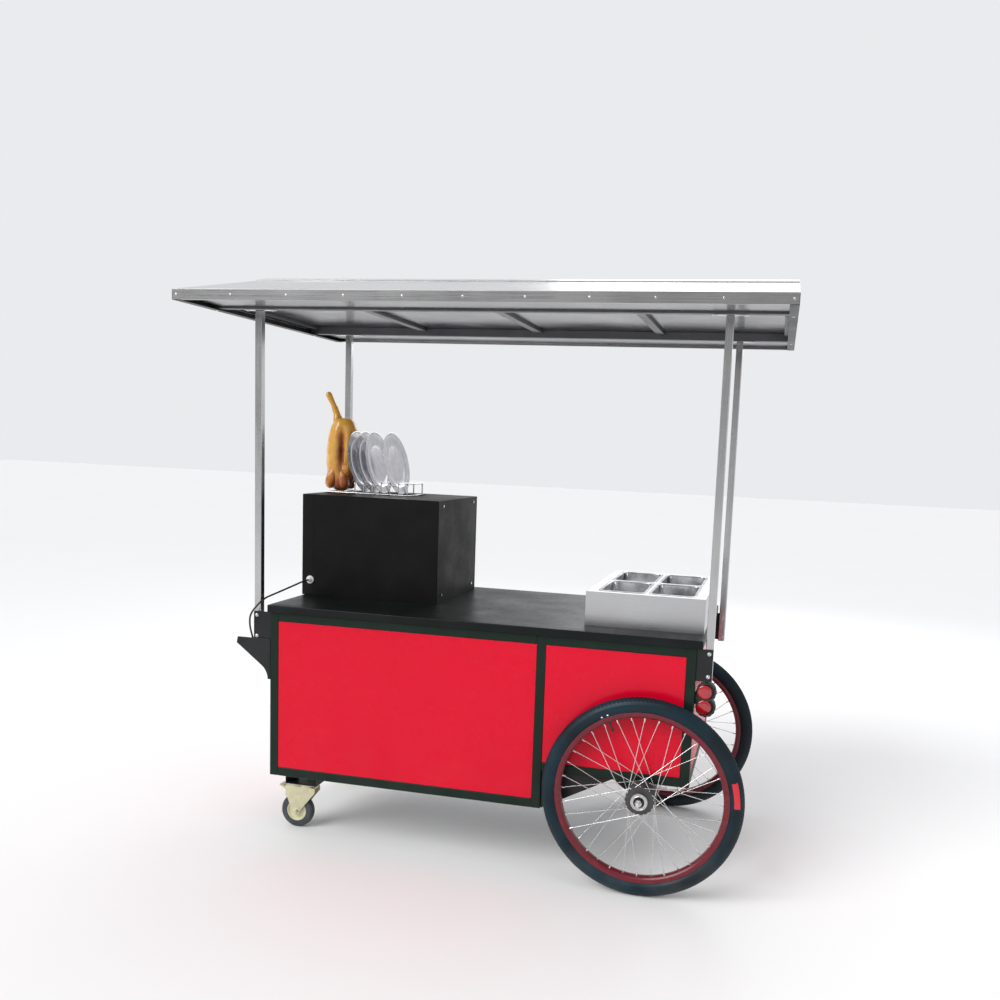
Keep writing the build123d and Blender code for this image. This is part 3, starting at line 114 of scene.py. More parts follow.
def rounded_line(corners: np.ndarray, radius: float, steps: int = 5, closed: bool = False) -> np.ndarray:
    """A line of straight runs with every corner eased.

    Each corner P gives way to the curve (1-t)^2 A + 2t(1-t) P + t^2 B, where A and B lie on the two
    runs, the radius away from P or at most 0.45 of the run.

    Args:
        corners: The corner points, n by 2 or 3.
        radius: How far from its corner each curve starts.
        steps: Points on each curve.
        closed: Whether the last run joins the first.

    Returns:
        The eased line's points.
    """
    corners = np.asarray(corners, float)
    before = np.roll(corners, 1, axis=0) - corners
    after = np.roll(corners, -1, axis=0) - corners
    before_length = np.linalg.norm(before, axis=1, keepdims=True)
    after_length = np.linalg.norm(after, axis=1, keepdims=True)
    start = corners + before / before_length * np.minimum(radius, 0.45 * before_length)
    end = corners + after / after_length * np.minimum(radius, 0.45 * after_length)
    t = np.linspace(0.0, 1.0, steps)[None, :, None]
    curve = (1 - t) ** 2 * start[:, None] + 2 * t * (1 - t) * corners[:, None] + t**2 * end[:, None]
    if closed:
        return curve.reshape(-1, corners.shape[1])
    return np.concatenate([corners[:1], curve[1:-1].reshape(-1, corners.shape[1]), corners[-1:]])


def turned(
    profile: np.ndarray,
    centre: Sequence[float],
    axis: Axis,
    segments: int = 64,
    closed: bool = False,
    finish: int = 0,
    ripple: Optional[np.ndarray] = None,
) -> Patch:
    """A profile carried round an axis: radius times (cos a, sin a), with its place along the axis kept.

    Args:
        profile: Rows of radius and place along the axis.
        centre: A point on the axis, from which the profile's places are measured.
        axis: The axis it goes round.
        segments: Steps in a full turn.
        closed: Whether the profile's last point joins its first.
        finish: The finish number.
        ripple: Lengths added to the radius, segments by profile points.

    Returns:
        The closed ring of surface.
    """
    angle = np.linspace(0.0, 2 * np.pi, segments, endpoint=False)[:, None]
    radius = np.broadcast_to(profile[None, :, 0], (segments, len(profile)))
    if ripple is not None:
        radius = radius + ripple
    along = np.broadcast_to(profile[None, :, 1], radius.shape)
    parts: list[np.ndarray] = [radius * np.cos(angle), radius * np.sin(angle)]
    parts.insert(axis.value, along)
    return grid(np.stack(parts, axis=-1) + np.asarray(centre), True, closed, finish)


def carried(
    path: np.ndarray,
    radii: np.ndarray | float,
    sides: int = 12,
    upward: Sequence[float] | np.ndarray = (0.0, 0.0, 1.0),
    finish: int = 0,
) -> list[Patch]:
    """Round tubes along paths: at each station a circle across the path's own direction.

    The circle's first axis is the path's direction crossed with the upward one, and its second is the
    first crossed back with the direction. Its ends close to a point.

    Args:
        path: One path (stations by 3) or many (paths by stations by 3).
        radii: One radius, or one for each station.
        sides: Sides of the circle.
        upward: A direction that no path runs along, or one for each path.
        finish: The finish number.

    Returns:
        One patch for each path.
    """
    path = np.asarray(path, float)
    if path.ndim == 2:
        path = path[None]
    radii = np.broadcast_to(np.asarray(radii, float), path.shape[:2])
    along = np.gradient(path, axis=1)
    along /= np.linalg.norm(along, axis=2, keepdims=True)
    across = np.cross(along, np.asarray(upward, float))
    across /= np.linalg.norm(across, axis=2, keepdims=True)
    over = np.cross(across, along)
    path = np.concatenate([path[:, :1], path, path[:, -1:]], axis=1)
    across = np.concatenate([across[:, :1], across, across[:, -1:]], axis=1)
    over = np.concatenate([over[:, :1], over, over[:, -1:]], axis=1)
    nought = np.zeros_like(radii[:, :1])
    radii = np.concatenate([nought, radii, nought], axis=1)[:, :, None, None]
    angle = np.linspace(0.0, 2 * np.pi, sides, endpoint=False)[None, None, :, None]
    ring = across[:, :, None] * np.cos(angle) + over[:, :, None] * np.sin(angle)
    return [grid(points, False, True, finish) for points in path[:, :, None] + radii * ring]


def bell(values: np.ndarray, centre: float, width: float, power: int = 2) -> np.ndarray:
    """A hump of height 1: e to minus ((value - centre) / width) to the power."""
    return np.exp(-(((values - centre) / width) ** power))


def both_ways(half: Sequence[Sequence[float]]) -> np.ndarray:
    """An outline of radius and place, followed by its mirror image run backwards."""
    outline = np.array(half)
    return np.concatenate([outline, outline[::-1] * np.array([1.0, -1.0])])


def corner_turns(steps: int) -> tuple[np.ndarray, np.ndarray, np.ndarray]:
    """The angles round four quarter turns, and the signs in x and y of each one's corner."""
    quarter = np.linspace(0.0, np.pi / 2, steps)
    turn = (quarter[None, :] + np.arange(4)[:, None] * np.pi / 2).ravel()
    return turn, np.repeat([1.0, -1.0, -1.0, 1.0], steps), np.repeat([1.0, 1.0, -1.0, -1.0], steps)


def soft_block(low: Sequence[float], high: Sequence[float], radius: float, finish: int = 0) -> Patch:
    """A block with rounded edges.

    Its point in each direction n is sign(n) times (half size less radius), plus radius times n.

    Args:
        low: Its lowest corner.
        high: Its highest corner.
        radius: The edges' radius.
        finish: The finish number.

    Returns:
        The closed block.
    """
    low, high = np.asarray(low, float), np.asarray(high, float)
    half = (high - low) / 2
    radius = min(radius, float(half.min()) * 0.98)
    turn, sign_x, sign_y = corner_turns(4)
    quarter = np.linspace(0.0, np.pi / 2, 4)
    rise = np.concatenate([-quarter[::-1], quarter])
    sign_z = np.repeat([-1.0, 1.0], 4)
    reach = radius * np.cos(rise)[:, None]
    x = sign_x * (half[0] - radius) + reach * np.cos(turn)
    y = sign_y * (half[1] - radius) + reach * np.sin(turn)
    z = np.broadcast_to((sign_z * (half[2] - radius) + radius * np.sin(rise))[:, None], x.shape)
    body = np.stack([x, y, z], axis=-1)
    foot = np.broadcast_to([0.0, 0.0, -half[2]], body[:1].shape)
    head = np.broadcast_to([0.0, 0.0, half[2]], body[:1].shape)
    return grid(np.concatenate([foot, body, head]) + (low + high) / 2, False, True, finish)


def lofted(rings: Sequence[tuple[float, float, float, float]], centre: Sequence[float]) -> Patch:
    """Rounded rectangles stacked one after the other.

    Args:
        rings: For each, its half sizes in x and y, its corner radius and its height.
        centre: The point that the rings are centred on.

    Returns:
        The surface through all the rings.
    """
    turn, sign_x, sign_y = corner_turns(7)
    layers = [
        np.stack([
            sign_x * (half_x - radius) + radius * np.cos(turn),
            sign_y * (half_y - radius) + radius * np.sin(turn),
            np.full(len(turn), height),
        ], axis=-1)
        for half_x, half_y, radius, height in rings
    ]
    return grid(np.stack(layers) + np.asarray(centre), False, True)


def solid_boxes(node: str) -> list[tuple[np.ndarray, np.ndarray]]:
    """The box of each separate solid of a CAD node, found by spreading the lowest vertex number over every
    triangle that shares a corner until nothing changes.

    Args:
        node: The CAD node.

    Returns:
        The lowest and highest corner of each solid.
    """
    mesh = frame["nodes"][node].data
    points = np.zeros(len(mesh.vertices) * 3, np.float32)
    mesh.vertices.foreach_get("co", points)
    corner = np.zeros(len(mesh.loops), np.int32)
    mesh.loops.foreach_get("vertex_index", corner)
    spots, number = np.unique(np.round(points.reshape(-1, 3), 5), axis=0, return_inverse=True)
    triangle = number.reshape(-1)[corner].reshape(-1, 3)
    label = np.arange(len(spots))
    settled = False
    while not settled:
        fresh = label.copy()
        np.minimum.at(fresh, triangle.ravel(), np.repeat(label[triangle].min(axis=1), 3))
        fresh = fresh[fresh]
        settled = bool((fresh == label).all())
        label = fresh
    return [
        (spots[label == name].min(axis=0), spots[label == name].max(axis=0)) for name in np.unique(label)
    ]


def middle_of(node: str) -> np.ndarray:
    """The middle of a CAD node's box."""
    low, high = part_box(node)
    return np.array((low + high) / 2)


# ---- pieces ------------------------------------------------------------------------------------
def dress(obj: bpy.types.Object, body: str, nodes: Sequence[str] = ()) -> bpy.types.Object:
    """Ties a finished piece to its body and the CAD nodes that it stands for.

    Args:
        obj: The piece, in place.
        body: The body it moves with.
        nodes: CAD nodes that it replaces.

    Returns:
        The same piece.
    """
    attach(obj, body)
    if nodes:
        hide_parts(*nodes)
    LOG.info("piece %s on %s: %d faces", obj.name, body, len(obj.data.polygons) if obj.type == "MESH" else 0)
    return obj


def linked(name: str, data: Any) -> bpy.types.Object:
    """A new object round some data, in the scene."""
    obj = bpy.data.objects.new(name, data)
    bpy.context.scene.collection.objects.link(obj)
    return obj


def cleaned(mesh: bpy.types.Mesh, weld: float, sliver: float, join_flats: bool = False) -> None:
    """Closes a mesh's seams, drops its slivers and turns its faces outwards.

    Args:
        mesh: The mesh.
        weld: Points closer than this become one.
        sliver: Edges shorter than this go.
        join_flats: Whether neighbouring faces in one plane become one face.
    """
    work = bmesh.new()
    work.from_mesh(mesh)
    bmesh.ops.remove_doubles(work, verts=work.verts, dist=weld)
    bmesh.ops.dissolve_degenerate(work, edges=work.edges, dist=sliver)
    if join_flats:
        bmesh.ops.dissolve_limit(
            work, angle_limit=math.radians(0.4), use_dissolve_boundaries=False, verts=work.verts,
            edges=work.edges)
    bmesh.ops.recalc_face_normals(work, faces=work.faces)
    work.to_mesh(mesh)
    work.free()


def smooth(mesh: bpy.types.Mesh, angle: float) -> None:
    """Shades a mesh smooth, apart from edges sharper than the angle in degrees."""
    mesh.polygons.foreach_set("use_smooth", np.ones(len(mesh.polygons), bool))
    mesh.set_sharp_from_angle(angle=math.radians(angle))
    mesh.update()


def mesh_piece(
    name: str,
    patches: Sequence[Patch],
    finishes: Sequence["Finish"],
    angle: float = 32.0,
    weld: float = 2e-6,
) -> bpy.types.Object:
    """Makes one object of patches, with its seams and poles closed and its faces outwards.

    Args:
        name: The object's name.
        patches: The surfaces.
        finishes: The finishes by number.
        angle: Edges sharper than this stay sharp, in degrees.
        weld: Points closer than this become one.

    Returns:
        The object, linked to the scene.
    """
    starts = np.cumsum([0] + [len(patch.points) for patch in patches[:-1]])
    points = np.concatenate([patch.points for patch in patches])
    quads = np.concatenate([patch.quads + start for patch, start in zip(patches, starts)])
    numbers = np.concatenate([np.full(len(patch.quads), patch.finish) for patch in patches])
    mesh = bpy.data.meshes.new(name)
    mesh.from_pydata(points.tolist(), [], quads.tolist())
    mesh.polygons.foreach_set("material_index", numbers.astype(np.int32))
    for finish in finishes:
        mesh.materials.append(finish.material())
    cleaned(mesh, weld, weld / 4)
    smooth(mesh, angle)
    return linked(name, mesh)


def piece(
    name: str,
    patches: Sequence[Patch],
    finishes: Sequence["Finish"],
    body: str,
    nodes: Sequence[str] = (),
    flat: bool = False,
    **settings: float,
) -> bpy.types.Object:
    """Makes one object of patches and dresses it: ties it to its body and hides the CAD nodes that it
    replaces.

    Args:
        name: The object's name.
        patches: The surfaces.
        finishes: The finishes by number.
        body: The body it moves with.
        nodes: CAD nodes that it replaces.
        flat: Whether large flat faces outweigh the small ones at their edges in the shading.
        **settings: The angle and weld of mesh_piece.

    Returns:
        The piece, dressed.
    """
    obj = mesh_piece(name, patches, finishes, **settings)
    if flat:
        obj.modifiers.new("flat_faces", "WEIGHTED_NORMAL").keep_sharp = True
    return dress(obj, body, nodes)


def refined(node: str, finish: "Finish", bevel: float = 0.0006, angle: float = 30.0) -> bpy.types.Object:
    """A merged copy of a CAD node with its flat faces joined up and its edges eased, in place of the node.

    Args:
        node: The CAD node.
        finish: Its finish.
        bevel: Width of the eased edges.
        angle: Edges sharper than this are eased, in degrees.

    Returns:
        The piece, dressed.
    """
    mesh = frame["nodes"][node].data.copy()
    mesh.name = f"{node}_eased"
    cleaned(mesh, 1e-5, 1e-6, join_flats=True)
    mesh.materials.clear()
    mesh.materials.append(finish.material())
    smooth(mesh, angle)
    obj = linked(f"{node}_eased", mesh)
    if bevel > 0.0:
        ease = obj.modifiers.new("eased_edges", "BEVEL")
        ease.width = bevel
        ease.segments = 2
        ease.limit_method = "ANGLE"
        ease.angle_limit = math.radians(angle)
        ease.harden_normals = True
    return dress(obj, BODY_OF[node], [node])


def soft_blocks(node: str, finish: "Finish", radius: float) -> bpy.types.Object:
    """Round-edged blocks in place of a CAD node whose solids are all plain bars or sheets."""
    patches = [soft_block(low, high, radius) for low, high in solid_boxes(node)]
    return piece(f"{node}_bars", patches, [finish], BODY_OF[node], [node], flat=True)


# ---- shader effects ----------------------------------------------------------------------------
class Sheet:
    """Writes shader nodes into one node tree."""

    def __init__(self, tree: bpy.types.NodeTree) -> None:
        """Keeps the tree that the nodes go into."""
        self.tree = tree

    def feed(self, value: Any, socket: bpy.types.NodeSocket) -> None:
        """Links a socket, or sets a plain value."""
        if isinstance(value, bpy.types.NodeSocket):
            self.tree.links.new(value, socket)
        else:
            socket.default_value = value

    def add(self, kind: str, feeds: Optional[dict] = None, **settings: Any) -> bpy.types.Node:
        """Adds one node.

        Args:
            kind: The node's type.
            feeds: Input name or number to a value or socket.
            **settings: The node's own settings.

        Returns:
            The node.
        """
        node = self.tree.nodes.new(kind)
        for name, value in settings.items():
            setattr(node, name, value)
        for name, value in (feeds or {}).items():
            self.feed(value, node.inputs[name])
        return node

    def sum(self, operation: str, first: Any, second: Any = 0.0, clamp: bool = False) -> bpy.types.NodeSocket:
        """One step of arithmetic on numbers."""
        feeds = {0: first, 1: second}
        return self.add("ShaderNodeMath", feeds, operation=operation, use_clamp=clamp).outputs[0]

    def weighed(self, first: Any, share: float, second: Any) -> bpy.types.NodeSocket:
        """The first number times its share, plus the second times the rest."""
        kept = self.sum("MULTIPLY", first, share)
        return self.sum("ADD", kept, self.sum("MULTIPLY", second, round(1.0 - share, 3)))

    def stretch(self, vector: Any, factors: Any) -> bpy.types.NodeSocket:
        """A vector times another, part by part."""
        return self.add("ShaderNodeVectorMath", {0: vector, 1: factors}, operation="MULTIPLY").outputs[0]

    def noise(self, vector: Any, scale: Any, detail: float = 3.0) -> bpy.types.NodeSocket:
        """Cloudy noise from 0 to 1."""
        feeds = {"Vector": vector, "Scale": scale, "Detail": detail}
        return self.add("ShaderNodeTexNoise", feeds).outputs[0]

    def span(
        self, value: Any, low: Any, high: Any, new_low: Any = 0.0, new_high: Any = 1.0
    ) -> bpy.types.NodeSocket:
        """A number moved from one span to another, held at its ends."""
        feeds = {0: value, 1: low, 2: high, 3: new_low, 4: new_high}
        return self.add("ShaderNodeMapRange", feeds, clamp=True).outputs[0]

    def blend(self, share: Any, first: Any, second: Any) -> bpy.types.NodeSocket:
        """Two colours mixed."""
        return self.add("ShaderNodeMix", {0: share, 6: first, 7: second}, data_type="RGBA").outputs[2]


class Effect(Enum):
    """The node groups that several finishes share."""

    MOTTLE = "Mottle"
    GRAIN = "Grain"
    RELIEF = "Relief"
    WEAR = "Wear"
    DUST = "Dust"


class Effects:
    """Builds each shared node group once."""

    made: ClassVar[dict[Effect, bpy.types.NodeTree]] = {}

    @classmethod
    def get(cls, effect: Effect) -> bpy.types.NodeTree:
        """The group of an effect, built when it is first asked for."""
        if effect not in cls.made:
            cls.made[effect] = getattr(cls, f"_{effect.name.lower()}")()
        return cls.made[effect]

    @staticmethod
    def _start(name: str, inputs: Sequence[tuple[str, str]], outputs: Sequence[tuple[str, str]]) -> tuple:
        """An empty group with its named sockets.

        Args:
            name: The group's name.
            inputs: Names and kinds of its inputs.
            outputs: Names and kinds of its outputs.

        Returns:
            The sheet, the input node's sockets and the output node.
        """
        tree = bpy.data.node_groups.new(name, "ShaderNodeTree")
        for label, kind in inputs:
            tree.interface.new_socket(label, in_out="INPUT", socket_type=f"NodeSocket{kind}")
        for label, kind in outputs:
            tree.interface.new_socket(label, in_out="OUTPUT", socket_type=f"NodeSocket{kind}")
        sheet = Sheet(tree)
        return sheet, sheet.add("NodeGroupInput").outputs, sheet.add("NodeGroupOutput")

    @classmethod
    def _mottle(cls) -> bpy.types.NodeTree:
        """Broad and fine clouds added up, as an uneven gloss: Low where calm, High where cloudy."""
        sheet, given, out = cls._start(
            "Mottle",
            [("Coordinates", "Vector"), ("Scale", "Float"), ("Low", "Float"), ("High", "Float")],
            [("Value", "Float")],
        )
        broad = sheet.noise(given["Coordinates"], given["Scale"], 4.0)
        fine = sheet.noise(given["Coordinates"], sheet.sum("MULTIPLY", given["Scale"], 9.0), 2.0)
        both = sheet.weighed(broad, 0.7, fine)
        sheet.feed(sheet.span(both, 0.35, 0.65, given["Low"], given["High"]), out.inputs["Value"])
        return sheet.tree

    @classmethod
    def _grain(cls) -> bpy.types.NodeTree:
        """Long thin streaks: noise on coordinates pressed together across the brushing's direction."""
        sheet, given, out = cls._start(
            "Grain",
            [("Coordinates", "Vector"), ("Stretch", "Vector"), ("Low", "Float"), ("High", "Float")],
            [("Value", "Float"), ("Height", "Float")],
        )
        pressed = sheet.stretch(given["Coordinates"], given["Stretch"])
        streaks = sheet.noise(pressed, 1.0, 4.0)
        clouds = sheet.noise(given["Coordinates"], 5.0, 3.0)
        both = sheet.weighed(streaks, 0.6, clouds)
        sheet.feed(sheet.span(both, 0.35, 0.65, given["Low"], given["High"]), out.inputs["Value"])
        sheet.feed(streaks, out.inputs["Height"])
        return sheet.tree

    @classmethod
    def _relief(cls) -> bpy.types.NodeTree:
        """The normal of fine peel on slow waves, plus a height given from outside; depths in metres."""
        sheet, given, out = cls._start(
            "Relief",
            [
                ("Coordinates", "Vector"), ("Peel Scale", "Float"), ("Peel Depth", "Float"),
                ("Wave Scale", "Float"), ("Wave Depth", "Float"), ("Height", "Float"), ("Depth", "Float"),
            ],
            [("Normal", "Vector")],
        )
        waves = sheet.noise(given["Coordinates"], given["Wave Scale"], 1.0)
        slow = sheet.add("ShaderNodeBump", {"Distance": given["Wave Depth"], "Height": waves})
        peel = sheet.noise(given["Coordinates"], given["Peel Scale"], 2.0)
        feeds = {"Distance": given["Peel Depth"], "Height": peel, "Normal": slow.outputs[0]}
        fine = sheet.add("ShaderNodeBump", feeds)
        feeds = {"Distance": given["Depth"], "Height": given["Height"], "Normal": fine.outputs[0]}
        sheet.feed(sheet.add("ShaderNodeBump", feeds).outputs[0], out.inputs["Normal"])
        return sheet.tree

    @classmethod
    def _wear(cls) -> bpy.types.NodeTree:
        """A base colour that drifts to a second one in soft patches and in thin crossing scuffs: wear on most
        finishes, and painted sheen, highlight, reflection and shade on some.
        """
        sheet, given, out = cls._start(
            "Wear",
            [
                ("Coordinates", "Vector"), ("Base", "Color"), ("Worn", "Color"),
                ("Scale", "Float"), ("Amount", "Float"),
            ],
            [("Color", "Color"), ("Mask", "Float")],
        )
        patches = sheet.span(sheet.noise(given["Coordinates"], given["Scale"], 5.0), 0.42, 0.72)
        slanted = sheet.stretch(given["Coordinates"], (31.0, 19.0, 240.0))
        scuffs = sheet.span(sheet.noise(slanted, 1.0, 2.0), 0.66, 0.74)
        patched = sheet.sum("ADD", patches, sheet.sum("MULTIPLY", scuffs, 0.35), clamp=True)
        mask = sheet.sum("MULTIPLY", patched, given["Amount"], clamp=True)
        sheet.feed(sheet.blend(mask, given["Base"], given["Worn"]), out.inputs["Color"])
        sheet.feed(mask, out.inputs["Mask"])
        return sheet.tree

    @classmethod
    def _dust(cls) -> bpy.types.NodeTree:
        """Dust over a colour: cloudy, thickest at the Low height and gone at the High one."""
        sheet, given, out = cls._start(
            "Dust",
            [
                ("Coordinates", "Vector"), ("Base", "Color"), ("Dust", "Color"),
                ("Amount", "Float"), ("Low", "Float"), ("High", "Float"),
            ],
            [("Color", "Color")],
        )
        height = sheet.add("ShaderNodeSeparateXYZ", {0: given["Coordinates"]}).outputs[2]
        fade = sheet.span(height, given["Low"], given["High"], 1.0, 0.12)
        clouds = sheet.span(sheet.noise(given["Coordinates"], 11.0, 6.0), 0.35, 0.75)
        share = sheet.sum("MULTIPLY", sheet.sum("MULTIPLY", fade, clouds), given["Amount"], clamp=True)
        sheet.feed(sheet.blend(share, given["Base"], given["Dust"]), out.inputs["Color"])
        return sheet.tree


def placed(sheet: Sheet, effect: Effect, feeds: dict) -> bpy.types.Node:
    """Puts a shared effect into a material with its own values."""
    group = sheet.add("ShaderNodeGroup", node_tree=Effects.get(effect))
    for name, value in feeds.items():
        sheet.feed(value, group.inputs[name])
    return group


def opaque(colour: Colour) -> tuple[float, float, float, float]:
    """A colour with full alpha."""
    return (*colour, 1.0)


@dataclass(frozen=True)
class Finish:
    """A paint, plating, plastic or rubber: colour, wear patches that on some finishes are painted sheen,
    highlight, reflection and shade, uneven gloss and fine relief.
    """

    name: str
    slot: str
    colour: Colour
    # Second colour, for wear; on the tyre, worktop, pans, ceiling and rim beads it is painted sheen,
    # highlight, reflection and shade instead.
    worn: Colour
    low: float = 0.3
    high: float = 0.45
    metallic: float = 0.0
    coat: float = 0.0
    coat_roughness: float = 0.06
    specular: float = 0.5
    mottle: float = 6.0
    wear: float = 0.2
    wear_scale: float = 9.0
    stretch: Optional[tuple[float, float, float]] = None
    grain_depth: float = 0.00002
    peel_scale: float = 900.0
    peel_depth: float = 0.00003
    wave_scale: float = 3.0
    wave_depth: float = 0.0
    dust: float = 0.08
    dust_colour: Colour = (0.30, 0.28, 0.25)
    dust_high: float = 0.45
    transmission: float = 0.0
    ior: float = 1.5
    subsurface: float = 0.0

    def material(self) -> bpy.types.Material:
        """The finish as a material, made once, under a name that no CAD material has."""
        title = f"{self.name}_finish"
        found = bpy.data.materials.get(title)
        if found is not None:
            return found
        material = bpy.data.materials.new(title)
        material.use_nodes = True
        material.diffuse_color = opaque(self.colour)
        sheet = Sheet(material.node_tree)
        shader = material.node_tree.nodes["Principled BSDF"]
        self.wire(sheet, shader, sheet.add("ShaderNodeTexCoord").outputs["Object"])
        return material

    def wire(self, sheet: Sheet, shader: bpy.types.Node, place: bpy.types.NodeSocket) -> None:
        """Feeds the shader from the shared effects.

        Args:
            sheet: The material's sheet.
            shader: Its Principled BSDF.
            place: Object coordinates.
        """
        plain = {
            "Metallic": self.metallic, "Coat Weight": self.coat, "Coat Roughness": self.coat_roughness,
            "Specular IOR Level": self.specular, "IOR": self.ior, "Transmission Weight": self.transmission,
            "Subsurface Weight": self.subsurface,
        }
        for name, value in plain.items():
            shader.inputs[name].default_value = value
        if self.subsurface > 0.0:
            shader.inputs["Subsurface Radius"].default_value = (1.0, 0.35, 0.15)
            shader.inputs["Subsurface Scale"].default_value = 0.006
        # Patches of the second colour: wear, and on some finishes painted sheen, highlight, reflection and
        # shade.
        worn = placed(sheet, Effect.WEAR, {
            "Coordinates": place, "Base": self.base(sheet, place), "Worn": opaque(self.worn),
            "Scale": self.wear_scale, "Amount": self.wear,
        })
        dusty = placed(sheet, Effect.DUST, {
            "Coordinates": place, "Base": worn.outputs["Color"], "Dust": opaque(self.dust_colour),
            "Amount": self.dust, "Low": 0.0, "High": self.dust_high,
        })
        sheet.feed(dusty.outputs["Color"], shader.inputs["Base Color"])
        relief = {
            "Coordinates": place, "Peel Scale": self.peel_scale, "Peel Depth": self.peel_depth,
            "Wave Scale": self.wave_scale, "Wave Depth": self.wave_depth, "Height": 0.5, "Depth": 0.0,
        }
        if self.stretch is None:
            gloss = placed(sheet, Effect.MOTTLE, {
                "Coordinates": place, "Scale": self.mottle, "Low": self.low, "High": self.high,
            })
        else:
            gloss = placed(sheet, Effect.GRAIN, {
                "Coordinates": place, "Stretch": self.stretch, "Low": self.low, "High": self.high,
            })
            relief["Height"] = gloss.outputs["Height"]
            relief["Depth"] = self.grain_depth
        sheet.feed(gloss.outputs["Value"], shader.inputs["Roughness"])
        sheet.feed(placed(sheet, Effect.RELIEF, relief).outputs["Normal"], shader.inputs["Normal"])

    def base(self, sheet: Sheet, place: bpy.types.NodeSocket) -> Any:
        """The colour under the wear, here one plain colour."""
        return opaque(self.colour)


@dataclass(frozen=True)
class WoodFinish(Finish):
    """Bare plywood: long wavering bands of two browns."""

    band: Colour = (0.30, 0.19, 0.10)

    def base(self, sheet: Sheet, place: bpy.types.NodeSocket) -> Any:
        """Bands of dark and light along X."""
        bands = sheet.noise(sheet.stretch(place, (3.0, 60.0, 60.0)), 1.0, 6.0)
        return sheet.blend(sheet.span(bands, 0.35, 0.65), opaque(self.colour), opaque(self.band))


@dataclass(frozen=True)
class RoastFinish(Finish):
    """Glazed roast skin: gold on top, red-brown lower down and darkest where the roast attribute is high,
    which holds painted shade in the hollow and on the lower +X side.
    """

    deep: Colour = (0.09, 0.018, 0.006)
    ruddy: Colour = (0.42, 0.10, 0.025)

    def base(self, sheet: Sheet, place: bpy.types.NodeSocket) -> Any:
        """Mixes gold, ruddy and deep brown by the piece's own roast attribute (roast colour and painted
        shade) and by clouds.
        """
        depth = sheet.add("ShaderNodeAttribute", attribute_name="roast").outputs["Fac"]
        clouds = sheet.noise(place, 26.0, 6.0)
        ruddy = sheet.sum("ADD", depth, sheet.span(clouds, 0.35, 0.7, -0.18, 0.22), clamp=True)
        first = sheet.blend(sheet.span(ruddy, 0.15, 0.6), opaque(self.colour), opaque(self.ruddy))
        return sheet.blend(sheet.span(ruddy, 0.62, 1.0), first, opaque(self.deep))


FRAME_PAINT = Finish(
    "frame_paint", "frame_paint", (0.0030, 0.0130, 0.0075), (0.008, 0.026, 0.017),
    0.30, 0.46, coat=0.05, coat_roughness=0.2, specular=0.2, wear=0.35, peel_depth=0.00006, peel_scale=420.0,
    dust=0.04,
)
BLACK_STEEL = Finish(
    "black_steel", "black_steel", (0.008, 0.009, 0.010), (0.030, 0.031, 0.031),
    0.32, 0.5, coat=0.05, coat_roughness=0.25, specular=0.3, wear=0.3, peel_depth=0.00005, peel_scale=500.0,
    dust=0.05,
)
RED_PANEL = Finish(
    "red_panel", "red_panel", (0.66, 0.0006, 0.022), (0.56, 0.0004, 0.016),
    0.22, 0.36, coat=0.12, coat_roughness=0.08, specular=0.15, wear=0.5, wear_scale=2.2, mottle=2.0,
    peel_depth=0.000012, peel_scale=260.0, wave_scale=2.6, wave_depth=0.004, dust=0.05,
)
SHEET_STEEL = Finish(
    "sheet_steel", "sheet_steel", (0.50, 0.51, 0.52), (0.34, 0.35, 0.36),
    0.32, 0.55, metallic=1.0, wear=0.5, wear_scale=30.0, wave_depth=0.001, dust=0.2,
)
# Near-black steel; its grey-green second colour, in broad patches, is painted sheen.
WORKTOP_STEEL = Finish(
    "worktop_steel", "worktop_steel", (0.004, 0.0055, 0.0055), (0.014, 0.019, 0.018),
    0.30, 0.46, coat=0.04, coat_roughness=0.2, specular=0.15, wear=0.45, wear_scale=4.0,
    peel_depth=0.00002, wave_scale=3.5, wave_depth=0.0015, dust=0.02, dust_high=0.9,
)
PLYWOOD = WoodFinish(
    "plywood", "plywood", (0.46, 0.31, 0.17), (0.30, 0.20, 0.12), 0.55, 0.75, wear=0.3, peel_depth=0.0001,
)
BRIGHT_STEEL = Finish(
    "bright_steel", "bright_steel", (0.66, 0.66, 0.65), (0.42, 0.42, 0.41),
    0.16, 0.34, metallic=1.0, wear=0.3, wear_scale=60.0, peel_depth=0.00001, dust=0.05,
)
POST_STEEL = Finish(
    "post_steel", "post_steel", (0.52, 0.52, 0.52), (0.34, 0.34, 0.35),
    0.16, 0.30, metallic=1.0, wear=0.25, stretch=(900.0, 900.0, 6.0), grain_depth=0.00001, peel_depth=0.0,
    dust=0.03,
)
ROOF_STEEL = Finish(
    "roof_steel", "roof_steel", (0.10, 0.10, 0.11), (0.16, 0.16, 0.17), 0.35, 0.5, metallic=0.6, wear=0.4,
)
ROOF_SHEET = Finish(
    "roof_sheet", "roof_sheet", (0.60, 0.60, 0.60), (0.44, 0.44, 0.45),
    0.20, 0.36, metallic=0.95, wear=0.4, wear_scale=3.0, stretch=(5.0, 700.0, 700.0), grain_depth=0.00001,
    peel_depth=0.0, wave_scale=2.2, wave_depth=0.003, dust=0.04, dust_high=2.2,
)
FASCIA_SHEET = replace(
    ROOF_SHEET, name="fascia_sheet", colour=(0.36, 0.36, 0.36), worn=(0.26, 0.26, 0.27), low=0.22, high=0.38,
    wear=0.5, wear_scale=4.0, wave_scale=2.6, wave_depth=0.004,
)
